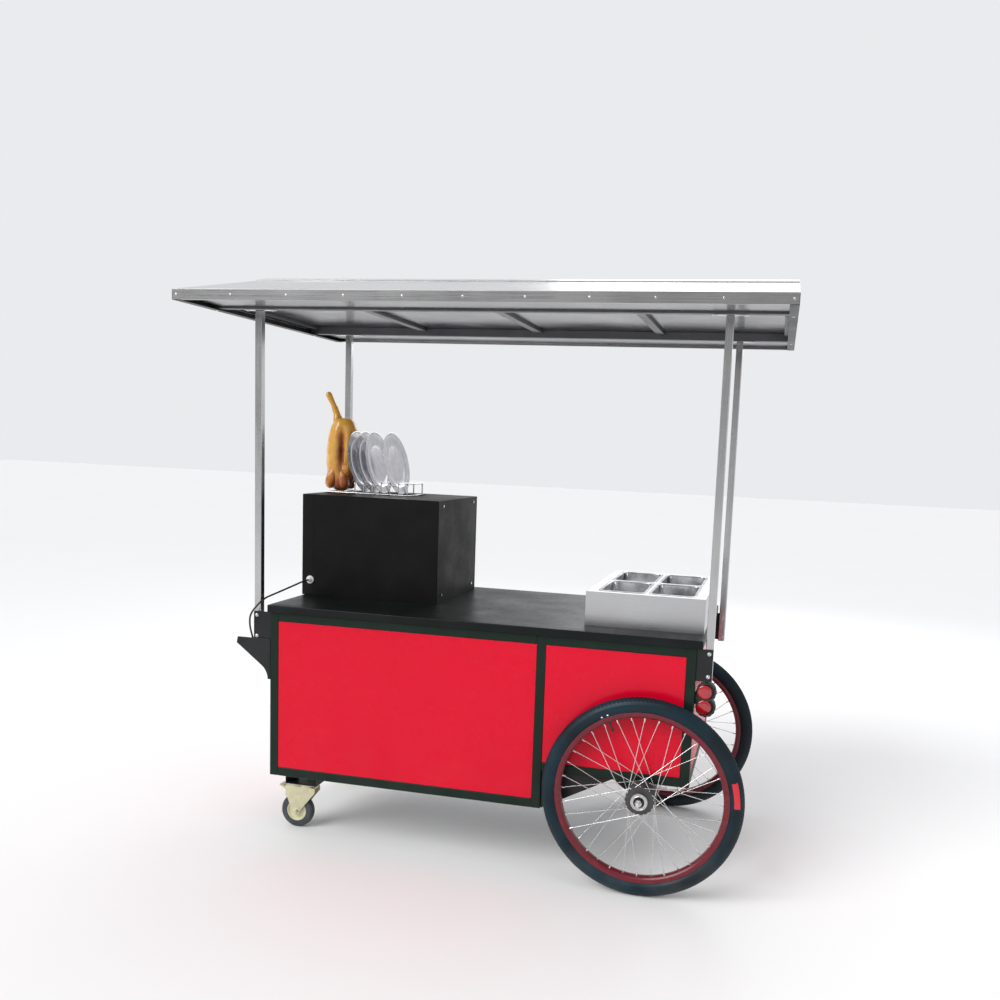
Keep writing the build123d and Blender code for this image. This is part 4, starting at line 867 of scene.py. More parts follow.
# Dark copy of the roof sheet for the ceiling seen from below: its base colour is painted shade, and its
# darker broad patches are painted shade too.
CEILING_SHEET = replace(
    ROOF_SHEET, name="ceiling_sheet", colour=(0.13, 0.13, 0.135), worn=(0.07, 0.07, 0.075), low=0.12,
    high=0.30, wear=0.5, wear_scale=2.0, stretch=(5.0, 500.0, 500.0), wave_scale=1.8, wave_depth=0.006,
)
BLACK_PLASTIC = Finish(
    "black_plastic", "black_plastic", (0.014, 0.014, 0.015), (0.045, 0.045, 0.045),
    0.34, 0.55, wear=0.25, peel_scale=1500.0, peel_depth=0.00006, dust=0.15,
)
RED_LENS = Finish(
    "red_lens", "red_lens", (0.40, 0.003, 0.008), (0.22, 0.002, 0.005),
    0.06, 0.14, coat=1.0, coat_roughness=0.03, wear=0.4, wear_scale=60.0, dust=0.02,
    peel_depth=0.00001,
)
WARMER_PAINT = Finish(
    "warmer_paint", "warmer_paint", (0.0045, 0.0042, 0.005), (0.011, 0.0105, 0.012),
    0.40, 0.56, specular=0.12, wear=0.3, peel_scale=1300.0, wave_depth=0.0008, dust=0.03, dust_high=1.6,
)
DARK_GLASS = Finish(
    "dark_glass", "dark_glass", (0.10, 0.10, 0.11), (0.16, 0.16, 0.17),
    0.02, 0.08, coat=0.4, coat_roughness=0.03, transmission=0.8, wear=0.2, wear_scale=8.0,
    peel_depth=0.0, dust=0.03,
)
WHITE_PLASTIC = Finish(
    "white_plastic", "white_plastic", (0.80, 0.79, 0.77), (0.60, 0.58, 0.54),
    0.28, 0.44, wear=0.3, wear_scale=70.0, subsurface=0.05, dust=0.1,
)
CORD_JACKET = Finish(
    "cord_jacket", "cord_jacket", (0.018, 0.018, 0.019), (0.050, 0.050, 0.050),
    0.30, 0.46, wear=0.3, wear_scale=45.0, peel_scale=1800.0, peel_depth=0.00008, dust=0.12, dust_high=1.2,
)
PLATE_STEEL = Finish(
    "plate_steel", "plate_steel", (0.48, 0.475, 0.50), (0.22, 0.215, 0.235),
    0.08, 0.20, metallic=1.0, wear=0.3, wear_scale=40.0, peel_depth=0.000008, peel_scale=300.0, dust=0.0,
)
ROAST_SKIN = RoastFinish(
    "roast_skin", "roast_skin", (0.70, 0.36, 0.045), (0.50, 0.18, 0.025),
    0.22, 0.42, coat=0.5, coat_roughness=0.16, wear=0.35, wear_scale=34.0, subsurface=0.12,
    peel_scale=240.0, peel_depth=0.0006, wave_scale=30.0, wave_depth=0.004, dust=0.0,
)
BAIN_STEEL = Finish(
    "bain_steel", "bain_steel", (0.56, 0.56, 0.57), (0.42, 0.42, 0.43),
    0.26, 0.42, metallic=1.0, wear=0.2, wear_scale=6.0, stretch=(4.0, 800.0, 800.0), grain_depth=0.00001,
    peel_depth=0.0, wave_depth=0.0006, dust=0.03,
)
# Bright steel; its near-black second colour, over large patches, is painted dark reflection.
PAN_STEEL = Finish(
    "pan_steel", "pan_steel", (0.70, 0.70, 0.71), (0.16, 0.16, 0.17),
    0.06, 0.16, metallic=1.0, wear=0.8, wear_scale=20.0, peel_depth=0.00002, peel_scale=160.0, dust=0.0,
)
# Near-black rubber with a slight teal tint; its teal second colour, in broad patches, is painted sheen.
TYRE_RUBBER = Finish(
    "tyre_rubber", "tyre_rubber", (0.004, 0.011, 0.016), (0.006, 0.050, 0.078),
    0.34, 0.55, wear=0.5, wear_scale=5.0, specular=0.2, peel_scale=1100.0, peel_depth=0.00012,
    dust=0.12, dust_high=0.3,
)
TYRE_PATCH = Finish(
    "tyre_patch", "tyre_rubber", (0.62, 0.012, 0.030), (0.40, 0.020, 0.030),
    0.4, 0.6, wear=0.5, wear_scale=120.0, peel_depth=0.00006, dust=0.15,
)
RIM_PAINT = Finish(
    "rim_paint", "rim_paint", (0.130, 0.004, 0.012), (0.180, 0.020, 0.028),
    0.24, 0.40, coat=0.25, coat_roughness=0.1, specular=0.3, wear=0.4, wear_scale=30.0, dust=0.03,
)
# Lighter copy of the rim paint for the edge beads: painted highlight, with pale patches as painted glints.
RIM_HIGHLIGHT = Finish(
    "rim_highlight", "rim_paint", (0.42, 0.020, 0.040), (0.55, 0.30, 0.32),
    0.16, 0.30, metallic=0.5, coat=0.3, wear=0.4, wear_scale=40.0, dust=0.1,
)
SPOKE_STEEL = Finish(
    "spoke_steel", "spoke_steel", (0.74, 0.74, 0.74), (0.50, 0.49, 0.47),
    0.14, 0.30, metallic=1.0, wear=0.4, wear_scale=90.0, peel_depth=0.0, dust=0.06,
)
HUB_BLACK = Finish(
    "hub_black", "hub_steel", (0.016, 0.017, 0.018), (0.060, 0.060, 0.060),
    0.26, 0.42, coat=0.4, coat_roughness=0.15, wear=0.3, wear_scale=60.0, dust=0.15,
)
HUB_STEEL = Finish(
    "hub_steel", "hub_steel", (0.66, 0.66, 0.67), (0.42, 0.41, 0.40),
    0.14, 0.32, metallic=1.0, wear=0.4, wear_scale=80.0, peel_depth=0.00001, dust=0.08,
)
AXLE_STEEL = replace(HUB_STEEL, slot="bright_steel")
CASTER_CREAM = Finish(
    "caster_cream", "caster_cream", (0.66, 0.64, 0.40), (0.48, 0.44, 0.26),
    0.28, 0.42, coat=0.3, wear=0.4, wear_scale=60.0, subsurface=0.05, dust=0.3, dust_high=0.3,
)
CASTER_ZINC = Finish(
    "caster_zinc", "caster_zinc", (0.72, 0.69, 0.46), (0.50, 0.48, 0.36),
    0.22, 0.40, metallic=0.75, wear=0.5, wear_scale=50.0, peel_depth=0.00002, dust=0.2, dust_high=0.3,
)
CASTER_RUBBER = Finish(
    "caster_rubber", "caster_rubber", (0.016, 0.024, 0.034), (0.040, 0.055, 0.065),
    0.32, 0.5, wear=0.5, wear_scale=50.0, peel_scale=1200.0, peel_depth=0.00008, dust=0.35, dust_high=0.2,
)


# ---- sub-assemblies ----------------------------------------------------------------------------
@dataclass
class Cabinet:
    """The welded cabinet: square-tube frame, red panels and doors, floor sheets and gussets."""

    tube_edge: float = 0.0035
    panel_edge: float = 0.0006
    weld_radius: float = 0.0028
    weld_depth: float = 0.0016
    weld_steps: int = 22

    def build(self) -> None:
        """Makes the frame's bars, the panels, the doors and their fittings."""
        soft_blocks("frame_stiles", FRAME_PAINT, self.tube_edge)
        soft_blocks("frame_rails", FRAME_PAINT, self.tube_edge)
        soft_blocks("cabinet_panels", RED_PANEL, self.panel_edge)
        soft_blocks("floor_sheets", SHEET_STEEL, 0.0004)
        refined("bracket_plates", BLACK_STEEL, 0.0010)
        for side in ("left", "right"):
            refined(f"door_{side}", RED_PANEL, 0.0008)
            refined(f"door_{side}_fittings", BRIGHT_STEEL, 0.0005)
        refined("hinge_halves", BRIGHT_STEEL, 0.0004)
        self.welds()

    def welds(self) -> None:
        """Weld beads where rails meet stiles on both long faces: rippled rods let into the corners.

        A bead's radius is the weld radius times 0.62 + 0.14 sin of 2.1 for each step, so that its runs show.
        """
        stiles = solid_boxes("frame_stiles")
        rails = [box for box in solid_boxes("frame_rails") if box[1][0] - box[0][0] > 0.1]
        steps = self.weld_steps
        paths = []
        for low, high in rails:
            outer = high[1] - self.weld_depth if high[1] > 0 else low[1] + self.weld_depth
            for x in (low[0], high[0]):
                if any(s_low[0] - 0.002 < x < s_high[0] + 0.002 for s_low, s_high in stiles):
                    z = np.linspace(low[2] + 0.003, high[2] - 0.003, steps)
                    paths.append(np.stack([np.full(steps, x), np.full(steps, outer), z], axis=-1))
        radii = self.weld_radius * (0.62 + 0.14 * np.sin(np.arange(steps) * 2.1))
        patches = carried(np.array(paths), radii, 8, (1.0, 0.0, 0.0))
        piece("frame_welds", patches, [FRAME_PAINT], "cart")


@dataclass
class Worktop:
    """The folded steel lid over a board."""

    edge: float = 0.003
    sheet: float = 0.0015
    corner: float = 0.004

    def build(self) -> None:
        """Lofts the lid from its inner edge, round its outside, over its rounded top and to its middle."""
        low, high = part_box("worktop_skin")
        half_x, half_y = (high.x - low.x) / 2, (high.y - low.y) / 2
        inner_x, inner_y = half_x - self.sheet, half_y - self.sheet
        rings = [(inner_x, inner_y, self.corner, high.z - 0.004), (inner_x, inner_y, self.corner, low.z)]
        rings += [(half_x, half_y, self.corner, low.z), (half_x, half_y, self.corner, low.z + 0.0002)]
        for angle in np.linspace(0.0, math.pi / 2, 6):
            inset = self.edge * (1 - math.cos(angle))
            height = high.z - self.edge * (1 - math.sin(angle))
            rings.append((half_x - inset, half_y - inset, self.corner, height))
        rings += [(half_x - 0.05, half_y - 0.05, self.corner, high.z), (0.0001, 0.0001, 0.00005, high.z)]
        lid = lofted(rings, (0, 0, 0))
        piece("worktop_lid", [lid], [WORKTOP_STEEL], "cart", ["worktop_skin"], weld=1e-5)
        board = soft_block(*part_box("worktop_board"), 0.0006)
        piece("board", [board], [PLYWOOD], "cart", ["worktop_board"])


@dataclass
class Posts:
    """Four square roof posts with their top plates."""

    half: float = 0.0125
    edge: float = 0.0028
    plate: float = 0.003

    def build(self) -> None:
        """Makes each post as a round-edged bar under a thin plate."""
        patches = []
        for low, high in solid_boxes("roof_posts"):
            x, y = ((low + high) / 2)[:2]
            top = high[2] - self.plate
            patches.append(soft_block(
                (x - self.half, y - self.half, low[2]), (x + self.half, y + self.half, top), self.edge))
            patches.append(soft_block((low[0], low[1], top), high, 0.0008))
        piece("posts", patches, [POST_STEEL], "cart", ["roof_posts"], flat=True)


@dataclass
class Fasteners:
    """Bolts, screws and rivets: domed heads outside, hexagon nuts inside."""

    inside: float = 0.345

    @staticmethod
    def dome(low: np.ndarray, high: np.ndarray, axis: Axis, sign: float) -> Patch:
        """A domed head on a thin washer: radius times cos a, height times sin a, from washer to crown."""
        extent = high - low
        height = float(extent[axis.value])
        radius = float(max(extent)) / 2
        turn = np.linspace(0.0, np.pi / 2, 6)
        dome = np.stack([radius * 0.84 * np.cos(turn), height * (0.28 + 0.72 * np.sin(turn))], axis=-1)
        profile = np.concatenate([[[0.0, 0.0], [radius, 0.0], [radius, height * 0.26]], dome])
        profile[-1, 0] = 0.0
        profile[:, 1] *= sign
        centre = (low + high) / 2
        centre[axis.value] = low[axis.value] if sign > 0 else high[axis.value]
        return turned(profile, centre, axis, 20)

    @staticmethod
    def nut(low: np.ndarray, high: np.ndarray, axis: Axis) -> Patch:
        """A hexagon nut: six sides whose radius is the flat distance over cos of the angle from the flat."""
        extent = high - low
        corners = np.array([
            [0.0, -0.5], [0.8, -0.5], [0.93, -0.42], [0.93, 0.42], [0.8, 0.5], [0.0, 0.5],
        ])
        profile = corners * np.array([float(max(extent)) / 2, float(extent[axis.value])])
        angle = np.linspace(0.0, 2 * np.pi, 24, endpoint=False)
        flat = np.cos(np.pi / 6) / np.cos((angle % (np.pi / 3)) - np.pi / 6)
        ripple = profile[None, :, 0] * (flat[:, None] - 1.0)
        return turned(profile, (low + high) / 2, axis, 24, ripple=ripple)

    def build(self) -> None:
        """Puts a head or nut at each fastener's own place."""
        patches: list[Patch] = []
        for low, high in solid_boxes("fasteners"):
            axis = Axis(int(np.argmin(high - low)))
            middle = (low + high) / 2
            if axis is Axis.Y and abs(middle[1]) < self.inside:
                patches.append(self.nut(low, high, axis))
            else:
                sign = -1.0 if axis is Axis.Z else float(np.sign(middle[axis.value]))
                patches.append(self.dome(low, high, axis, sign))
        piece("bolts_and_rivets", patches, [BRIGHT_STEEL], "cart", ["fasteners"], angle=28.0)


@dataclass
class Roof:
    """Pitched sheet roof: rails and ties, ceiling, fascias, slopes with a ridge cap, and end trims."""

    def build(self) -> None:
        """Makes the rails as soft bars and eases the edges of the folded sheets."""
        soft_blocks("roof_frame", ROOF_STEEL, 0.0015)
        refined("roof_ceiling", CEILING_SHEET, 0.0004)
        refined("fascias", FASCIA_SHEET, 0.0004)
        refined("roof_sheets", ROOF_SHEET, 0.0004)
        refined("end_trims", BLACK_STEEL, 0.0004)


@dataclass
class PushHandle:
    """Two cranked brackets and a plain round push bar."""

    bar_radius: float = 0.0125

    def build(self) -> None:
        """Eases the brackets, and turns the bar as a round tube closed at both ends."""
        refined("handle_brackets", BLACK_STEEL, 0.0012)
        low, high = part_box("push_bar")
        half = (high.y - low.y) / 2
        places = [-half, -half + 0.0002, half - 0.0002, half]
        profile = np.stack([[0.0, self.bar_radius, self.bar_radius, 0.0], places], axis=-1)
        bar = turned(profile, middle_of("push_bar"), Axis.Y, 40)
        piece("push_bar_tube", [bar], [POST_STEEL], "cart", ["push_bar"])


@dataclass
class BigWheel:
    """One big spoked wheel on an axle along Y; its side is -1 towards the customer and 1 away."""

    name: str
    middle: np.ndarray
    side: float
    tyre_centre: float = 0.303
    tyre_half_width: float = 0.025
    tyre_height: float = 0.027
    tyre_wrap: float = math.radians(134.5)
    tread_blocks: int = 150
    tread_edge: float = math.radians(66.0)
    tread_depth: float = 0.0017
    tread_pitch: float = 0.0072
    groove_share: float = 0.13
    ring_height: float = 0.0005
    lug_height: float = 0.0006
    rim_inner: float = 0.264
    rim_outer: float = 0.284
    rim_half: float = 0.017
    spokes: int = 36
    spoke_circle: float = 0.046
    spoke_radius: float = 0.0013
    spoke_lean: float = math.radians(60.0)
    flange_offset: float = 0.031
    flange_half: float = 0.002
    flange_radius: float = 0.048
    hub_half: float = 0.040
    valve_angle: float = math.radians(116.0)
    patch_from: float = math.radians(1.0)
    patch_to: float = math.radians(17.0)
    patch_lift: float = 0.0010
    dot_reach: float = 0.2915

    def build(self) -> None:
        """Makes the wheel's five pieces."""
        self.tyre()
        self.marks()
        self.rim()
        self.lacing()
        self.hub()

    def tyre(self) -> None:
        """The tyre: an oval section round the rim, y = w sin p and r = c + h cos p, with a block tread.

        Up to the tread's edge the surface drops into lengthwise grooves, evenly spaced over the width, and
        into one slit across for each block, staggered from row to row. Small lugs stand below the edge, and
        two thin rings stand out on each sidewall.
        """
        p = np.linspace(-self.tyre_wrap, self.tyre_wrap, 61)
        away = np.abs(p)
        y = self.tyre_half_width * np.sin(p)
        r = self.tyre_centre + self.tyre_height * np.cos(p)
        segments = self.tread_blocks * 4
        step = np.arange(segments)[:, None]
        shoulder = np.clip((self.tread_edge - away) / 0.08, 0.0, 1.0)
        place = y / self.tread_pitch + 0.5
        lengthwise = np.abs(place % 1.0 - 0.5) < self.groove_share
        across = (step + (np.floor(place) % 2) * 2) % 4 == 0
        rings = self.ring_height * (bell(away, 1.55, 0.03) + bell(away, 2.15, 0.03))
        lugs = self.lug_height * ((step % 4) < 2) * bell(away, 1.28, 0.06)
        ripple = -self.tread_depth * ((lengthwise | across) * shoulder) + (rings + lugs) * np.cos(p)
        ripple = np.concatenate([ripple, np.zeros((segments, 2))], axis=1)
        profile = np.concatenate([np.stack([r, y], axis=-1), [[0.2835, 0.0165], [0.2835, -0.0165]]])
        ring = turned(profile, self.middle, Axis.Y, segments, closed=True, ripple=ripple)
        nodes = [f"tyre_{self.name}"]
        piece(f"tyre_{self.name}_moulded", [ring], [TYRE_RUBBER], f"wheel_{self.name}", nodes, angle=40.0)

    def marks(self) -> None:
        """A plain red patch and two pale dots on the outer sidewall, lifted a little, their edges let in."""
        angle = np.linspace(self.patch_from, self.patch_to, 24)[:, None]
        p = np.linspace(1.02, 1.80, 9)[None, :]
        lift = np.full((24, 9), self.patch_lift)
        lift[[0, -1], :] = lift[:, [0, -1]] = -0.0006
        reach = self.tyre_centre + (self.tyre_height + lift) * np.cos(p)
        out = self.side * (self.tyre_half_width + lift) * np.sin(p)
        points = np.stack([reach * np.cos(angle), out, reach * np.sin(angle)], axis=-1)
        patches = [grid(self.middle + points)]
        dome = np.array([[0.0, 0.0012], [0.0022, 0.0010], [0.0032, 0.0], [0.0032, -0.002], [0.0, -0.002]])
        for turn in (self.valve_angle - 0.035, self.valve_angle + 0.035):
            place = (self.dot_reach * math.cos(turn), self.side * 0.0225, self.dot_reach * math.sin(turn))
            spot = self.middle + np.array(place)
            patches.append(turned(dome * np.array([1.0, self.side]), spot, Axis.Y, 16, finish=1))
        piece(f"tyre_{self.name}_marks", patches, [TYRE_PATCH, WHITE_PLASTIC], f"wheel_{self.name}")

    def rim(self) -> None:
        """The rolled rim: a well between two hooked walls, its edge beads in a painted highlight, with
        nipples and a valve.
        """
        half, inner, outer = self.rim_half, self.rim_inner, self.rim_outer
        well = np.array([
            [outer, -half], [outer, -half + 0.003], [outer - 0.009, -half + 0.0035], [inner + 0.004, -0.007],
            [inner + 0.003, 0.007], [outer - 0.009, half - 0.0035], [outer, half - 0.003], [outer, half],
            [inner + 0.008, half], [inner + 0.001, half - 0.005], [inner, 0.004], [inner, -0.004],
            [inner + 0.001, -half + 0.005], [inner + 0.008, -half],
        ])
        patches = [turned(rounded_line(well, 0.0022, 4, True), self.middle, Axis.Y, 144, closed=True)]
        angle = np.linspace(0.0, 2 * np.pi, 10, endpoint=False)
        # Edge beads in finish 1, the painted highlight.
        for wall in (-1.0, 1.0):
            bead = np.stack([
                outer - 0.0016 + 0.0016 * np.cos(angle), wall * (half - 0.0015) + 0.0015 * np.sin(angle),
            ], axis=-1)
            patches.append(turned(bead, self.middle, Axis.Y, 144, closed=True, finish=1))
        ends = self.spoke_ends()[1]
        inward = (self.middle - ends) * np.array([1.0, 0.0, 1.0])
        inward /= np.linalg.norm(inward, axis=1, keepdims=True)
        nipples = ends[:, None] + inward[:, None] * np.linspace(-0.002, 0.011, 5)[None, :, None]
        patches += carried(nipples, [0.0030, 0.0030, 0.0026, 0.0022, 0.0019], 8, (0.0, 1.0, 0.0), 2)
        out = np.array([math.cos(self.valve_angle), 0.0, math.sin(self.valve_angle)])
        stem = self.middle + out * np.linspace(inner + 0.001, inner - 0.034, 8)[:, None]
        thick = [0.0048, 0.0048, 0.0034, 0.0034, 0.0034, 0.0042, 0.0042, 0.0036]
        patches += carried(stem, thick, 14, (0.0, 1.0, 0.0), 3)
        finishes = [RIM_PAINT, RIM_HIGHLIGHT, SPOKE_STEEL, BLACK_PLASTIC]
        piece(f"rim_{self.name}_rolled", patches, finishes, f"wheel_{self.name}", [f"rim_{self.name}"])

    def spoke_ends(self) -> tuple[np.ndarray, np.ndarray, np.ndarray]:
        """Where every spoke leaves the hub and meets the rim, in crossed lacing.

        Hole k is on one flange or the other by turns, and each pair of holes leans round the rim one way
        or the other.

        Returns:
            The hub ends, the rim ends and each one's lean.
        """
        index = np.arange(self.spokes)
        flange = np.where(index % 2 == 1, -1.0, 1.0)
        lean = np.where(index % 4 < 2, 1.0, -1.0)
        step = math.radians(720.0 / self.spokes)
        at_hub = (index // 2) * step + np.where(flange < 0, step / 2, 0.0)
        at_rim = at_hub + lean * self.spoke_lean
        outward = flange * self.flange_offset + lean * (self.flange_half + self.spoke_radius + 0.0006)
        start = np.stack(
            [self.spoke_circle * np.cos(at_hub), outward, self.spoke_circle * np.sin(at_hub)], axis=-1)
        reach = self.rim_inner - 0.0005
        end = np.stack(
            [reach * np.cos(at_rim), flange * 0.005 + lean * 0.002, reach * np.sin(at_rim)], axis=-1)
        return self.middle + start, self.middle + end, lean

    def lacing(self) -> None:
        """The spokes: straight runs with a short bent head through the flange."""
        start, end, lean = self.spoke_ends()
        head = start - lean[:, None] * np.array([0.0, 0.0055, 0.0])
        share = np.array([0.0, 0.012, 0.03, 0.35, 0.7, 1.0])[None, :, None]
        run = start[:, None] + (end - start)[:, None] * share
        path = np.concatenate([head[:, None], run], axis=1)
        radii = self.spoke_radius * np.array([1.5, 1.1, 1.05, 1.0, 0.95, 0.95, 1.0])
        toward = self.middle - start + np.array([0.0, 0.011, 0.0])
        patches = carried(path, radii, 8, toward[:, None])
        nodes = [f"spokes_{self.name}"]
        piece(f"spokes_{self.name}_laced", patches, [SPOKE_STEEL], f"wheel_{self.name}", nodes, angle=50.0)

    def hub(self) -> None:
        """The hub: a waisted black shell with two flanges, a bearing in each end and a bright outer ring."""
        f, w, offset, half = self.flange_radius, self.flange_half, self.flange_offset, self.hub_half
        shell = both_ways([
            [0.0255, 0.012], [0.028, offset - 0.005], [f - 0.004, offset - w], [f, offset - w + 0.001],
            [f, offset + w - 0.001], [f - 0.004, offset + w], [0.026, offset + 0.004], [0.026, half - 0.002],
            [0.024, half], [0.0176, half],
        ])
        patches = [turned(rounded_line(shell, 0.0016, 3, True), self.middle, Axis.Y, 72, closed=True)]
        race = np.array([
            [0.0077, -0.0055], [0.0174, -0.0055], [0.0174, 0.0050], [0.0150, 0.0050], [0.0140, 0.0040],
            [0.0105, 0.0040], [0.0095, 0.0052], [0.0077, 0.0052],
        ])
        for end in (-1.0, 1.0):
            spot = self.middle + np.array([0.0, end * (half - 0.006), 0.0])
            patches.append(turned(race * np.array([1.0, end]), spot, Axis.Y, 48, closed=True))
        ring = np.array([
            [0.018, 0.04005], [0.0265, 0.04005], [0.028, 0.0415], [0.028, 0.0478], [0.0268, 0.05005],
            [0.0240, 0.05005], [0.0232, 0.0488], [0.0205, 0.0488], [0.0195, 0.05005], [0.018, 0.05005],
        ]) * np.array([1.0, self.side])
        ring = rounded_line(ring, 0.0007, 3, True)
        patches.append(turned(ring, self.middle, Axis.Y, 72, closed=True, finish=1))
        nodes = [f"hub_{self.name}"]
        piece(f"hub_{self.name}_turned", patches, [HUB_BLACK, HUB_STEEL], f"wheel_{self.name}", nodes)


@dataclass
class Running:
    """The two big wheels on their beam and stub axles."""

    rod: float = 0.0075
    thread_length: float = 0.022
    thread_pitch: float = 0.0009
    thread_depth: float = 0.0007

    def build(self) -> None:
        """Makes the beam, both wheels and the stub axles."""
        soft_blocks("axle_beam", BLACK_STEEL, 0.003)
        for name, side in SIDES:
            BigWheel(name, middle_of(f"tyre_{name}"), side).build()
        self.axles()

    def axles(self) -> None:
        """The stub axles: smooth rods with a threaded end, and a hexagon nut for each short solid."""
        patches = []
        for low, high in solid_boxes("stub_axles"):
            middle = (low + high) / 2
            if high[1] - low[1] > 0.05:
                near, far = sorted((abs(low[1]), abs(high[1])))
                thread = np.arange(far - self.thread_length, far - 0.001, self.thread_pitch)
                ridge = self.rod - self.thread_depth * (np.arange(len(thread)) % 2)
                profile = np.concatenate([
                    [[0.0, near], [self.rod, near], [self.rod, far - self.thread_length - 0.0005]],
                    np.stack([ridge, thread], axis=-1),
                    [[0.0066, far - 0.0004], [0.0060, far], [0.0, far]]])
                outward = np.array([1.0, float(np.sign(middle[1]))])
                patches.append(turned(profile * outward, (middle[0], 0.0, middle[2]), Axis.Y, 32))
            else:
                patches.append(Fasteners.nut(low, high, Axis.Y))
        piece("stub_axles_turned", patches, [AXLE_STEEL], "cart", ["stub_axles"], angle=28.0)


@dataclass
class Casters:
    """Two braked swivel casters at the handle end."""

    wheel_radius: float = 0.0625
    core_radius: float = 0.038
    tread_half: float = 0.016

    def build(self) -> None:
        """Makes the mounts, plates, forks, brakes and wheels."""
        refined("caster_mounts", BLACK_STEEL, 0.0008)
        refined("caster_plates", CASTER_ZINC, 0.0006)
        for name, _ in SIDES:
            refined(f"caster_fork_{name}", CASTER_ZINC, 0.0007)
            refined(f"caster_brake_{name}", CASTER_ZINC, 0.0006)
            self.wheel(name, middle_of(f"caster_tread_{name}"))

    def wheel(self, name: str, hub: np.ndarray) -> None:
        """A cream disc with a boss, a hollow face and a lip, inside a rounded rubber tread.

        Args:
            name: Front or rear.
            hub: The wheel's middle.
        """
        half = self.tread_half
        disc = both_ways([
            [0.0062, 0.018], [0.0115, 0.018], [0.013, 0.0165], [0.0135, 0.0125], [0.017, 0.0108],
            [0.026, 0.0102], [0.0325, 0.0112], [0.0335, 0.0148], [0.038, 0.015],
        ])
        band = both_ways([
            [self.core_radius, half], [0.0475, half], [0.0485, half - 0.0006], [0.0545, half - 0.0006],
            [self.wheel_radius - 0.002, 0.012], [self.wheel_radius, 0.006],
        ])
        core = turned(rounded_line(disc, 0.0012, 3, True), hub, Axis.Y, 72, closed=True)
        tread = turned(rounded_line(band, 0.0016, 4, True), hub, Axis.Y, 96, closed=True)
        body = f"caster_{name}_wheel"
        piece(f"caster_{name}_disc", [core], [CASTER_CREAM], body, [f"caster_core_{name}"])
        piece(f"caster_{name}_band", [tread], [CASTER_RUBBER], body, [f"caster_tread_{name}"])


@dataclass
class MarkerLamp:
    """The two-lobed red marker lamp on the customer-side corner."""

    housing_radius: float = 0.0325
    lens_radius: float = 0.023
    scallops: int = 12
    scallop_depth: float = 0.0016
    lens_steps: int = 26
    lens_step: float = 0.0005

    def build(self) -> None:
        """Turns two scalloped cups joined by a bridge, and two stepped domes."""
        low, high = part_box("lamp_housing")
        lens_low, lens_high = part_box("lamp_lenses")
        face = low.y
        heights = (low.z + self.housing_radius, high.z - self.housing_radius)
        middle_x = high.x - self.housing_radius
        depth = high.y - low.y
        cup = rounded_line(np.array([
            [0.0, depth], [0.030, depth], [self.housing_radius, 0.024], [self.housing_radius, 0.002],
            [0.0305, 0.0], [0.0265, 0.0], [0.0245, 0.0022], [self.lens_radius, 0.0055], [0.0, 0.0058],
        ]), 0.0012, 3)
        angle = np.linspace(0.0, 2 * np.pi, 144, endpoint=False)[:, None]
        share = np.clip((cup[None, :, 0] - 0.029) / 0.0035, 0.0, 1.0)
        ripple = -self.scallop_depth * (0.5 - 0.5 * np.cos(self.scallops * angle)) ** 2 * share
        patches = [turned(cup, (middle_x, face, z), Axis.Y, 144, ripple=ripple) for z in heights]
        patches.append(soft_block(
            (low.x, face + 0.004, heights[0] + 0.006), (middle_x, face + 0.032, heights[1] - 0.002), 0.003))
        piece("lamp_cups", patches, [BLACK_PLASTIC], "cart", ["lamp_housing"], angle=38.0)
        share = np.linspace(0.0, 1.0, self.lens_steps)
        crown = (face - lens_low.y) * np.sqrt(np.clip(1.0 - share**2.6, 0.0, 1.0))
        rise = np.maximum(crown - self.lens_step * (np.arange(self.lens_steps) % 2), 0.0)
        dome = np.stack([self.lens_radius * share, -rise], axis=-1)
        dome = np.concatenate([dome, [[self.lens_radius, 0.004], [0.0, 0.004]]])
        lens_x = (lens_low.x + lens_high.x) / 2
        domes = [turned(dome, (lens_x, face, z), Axis.Y, 72) for z in heights]
        piece("lamp_domes", domes, [RED_LENS], "cart", ["lamp_lenses"], angle=60.0)


def knob(name: str, node: str, body: str) -> None:
    """A fluted control knob with a raised pale pointer.

    Between skirt and cap its radius loses a millimetre times (1 - cos 14a)/2.

    Args:
        name: The piece's name.
        node: The CAD knob that it stands for.
        body: The knob's own body.
    """
    low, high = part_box(node)
    centre = np.array([(low.x + high.x) / 2, 0.0, (low.z + high.z) / 2])
    radius = (high.x - low.x) / 2
    back, face = high.y - 0.0195, high.y - 0.003
    profile = rounded_line(np.array([
        [0.0, low.y], [0.003, low.y], [0.003, back], [radius, back], [radius, back + 0.004],
        [radius * 0.9, back + 0.006], [radius * 0.86, face - 0.001], [radius * 0.80, face], [0.0, face],
    ]), 0.0008, 3)
    angle = np.linspace(0.0, 2 * np.pi, 112, endpoint=False)[:, None]
    fluted = (profile[:, 1] > back + 0.005) & (profile[:, 0] > radius * 0.6)
    ripple = -0.0010 * (0.5 - 0.5 * np.cos(14 * angle)) * fluted[None, :]
    pointer = soft_block(
        (centre[0] - 0.0011, face - 0.001, centre[2] + radius * 0.15),
        (centre[0] + 0.0011, face + 0.0012, centre[2] + radius * 0.78), 0.0005, finish=1)
    patches = [turned(profile, centre, Axis.Y, 112, ripple=ripple), pointer]
    piece(name, patches, [BLACK_PLASTIC, WHITE_PLASTIC], body, [node], angle=36.0)


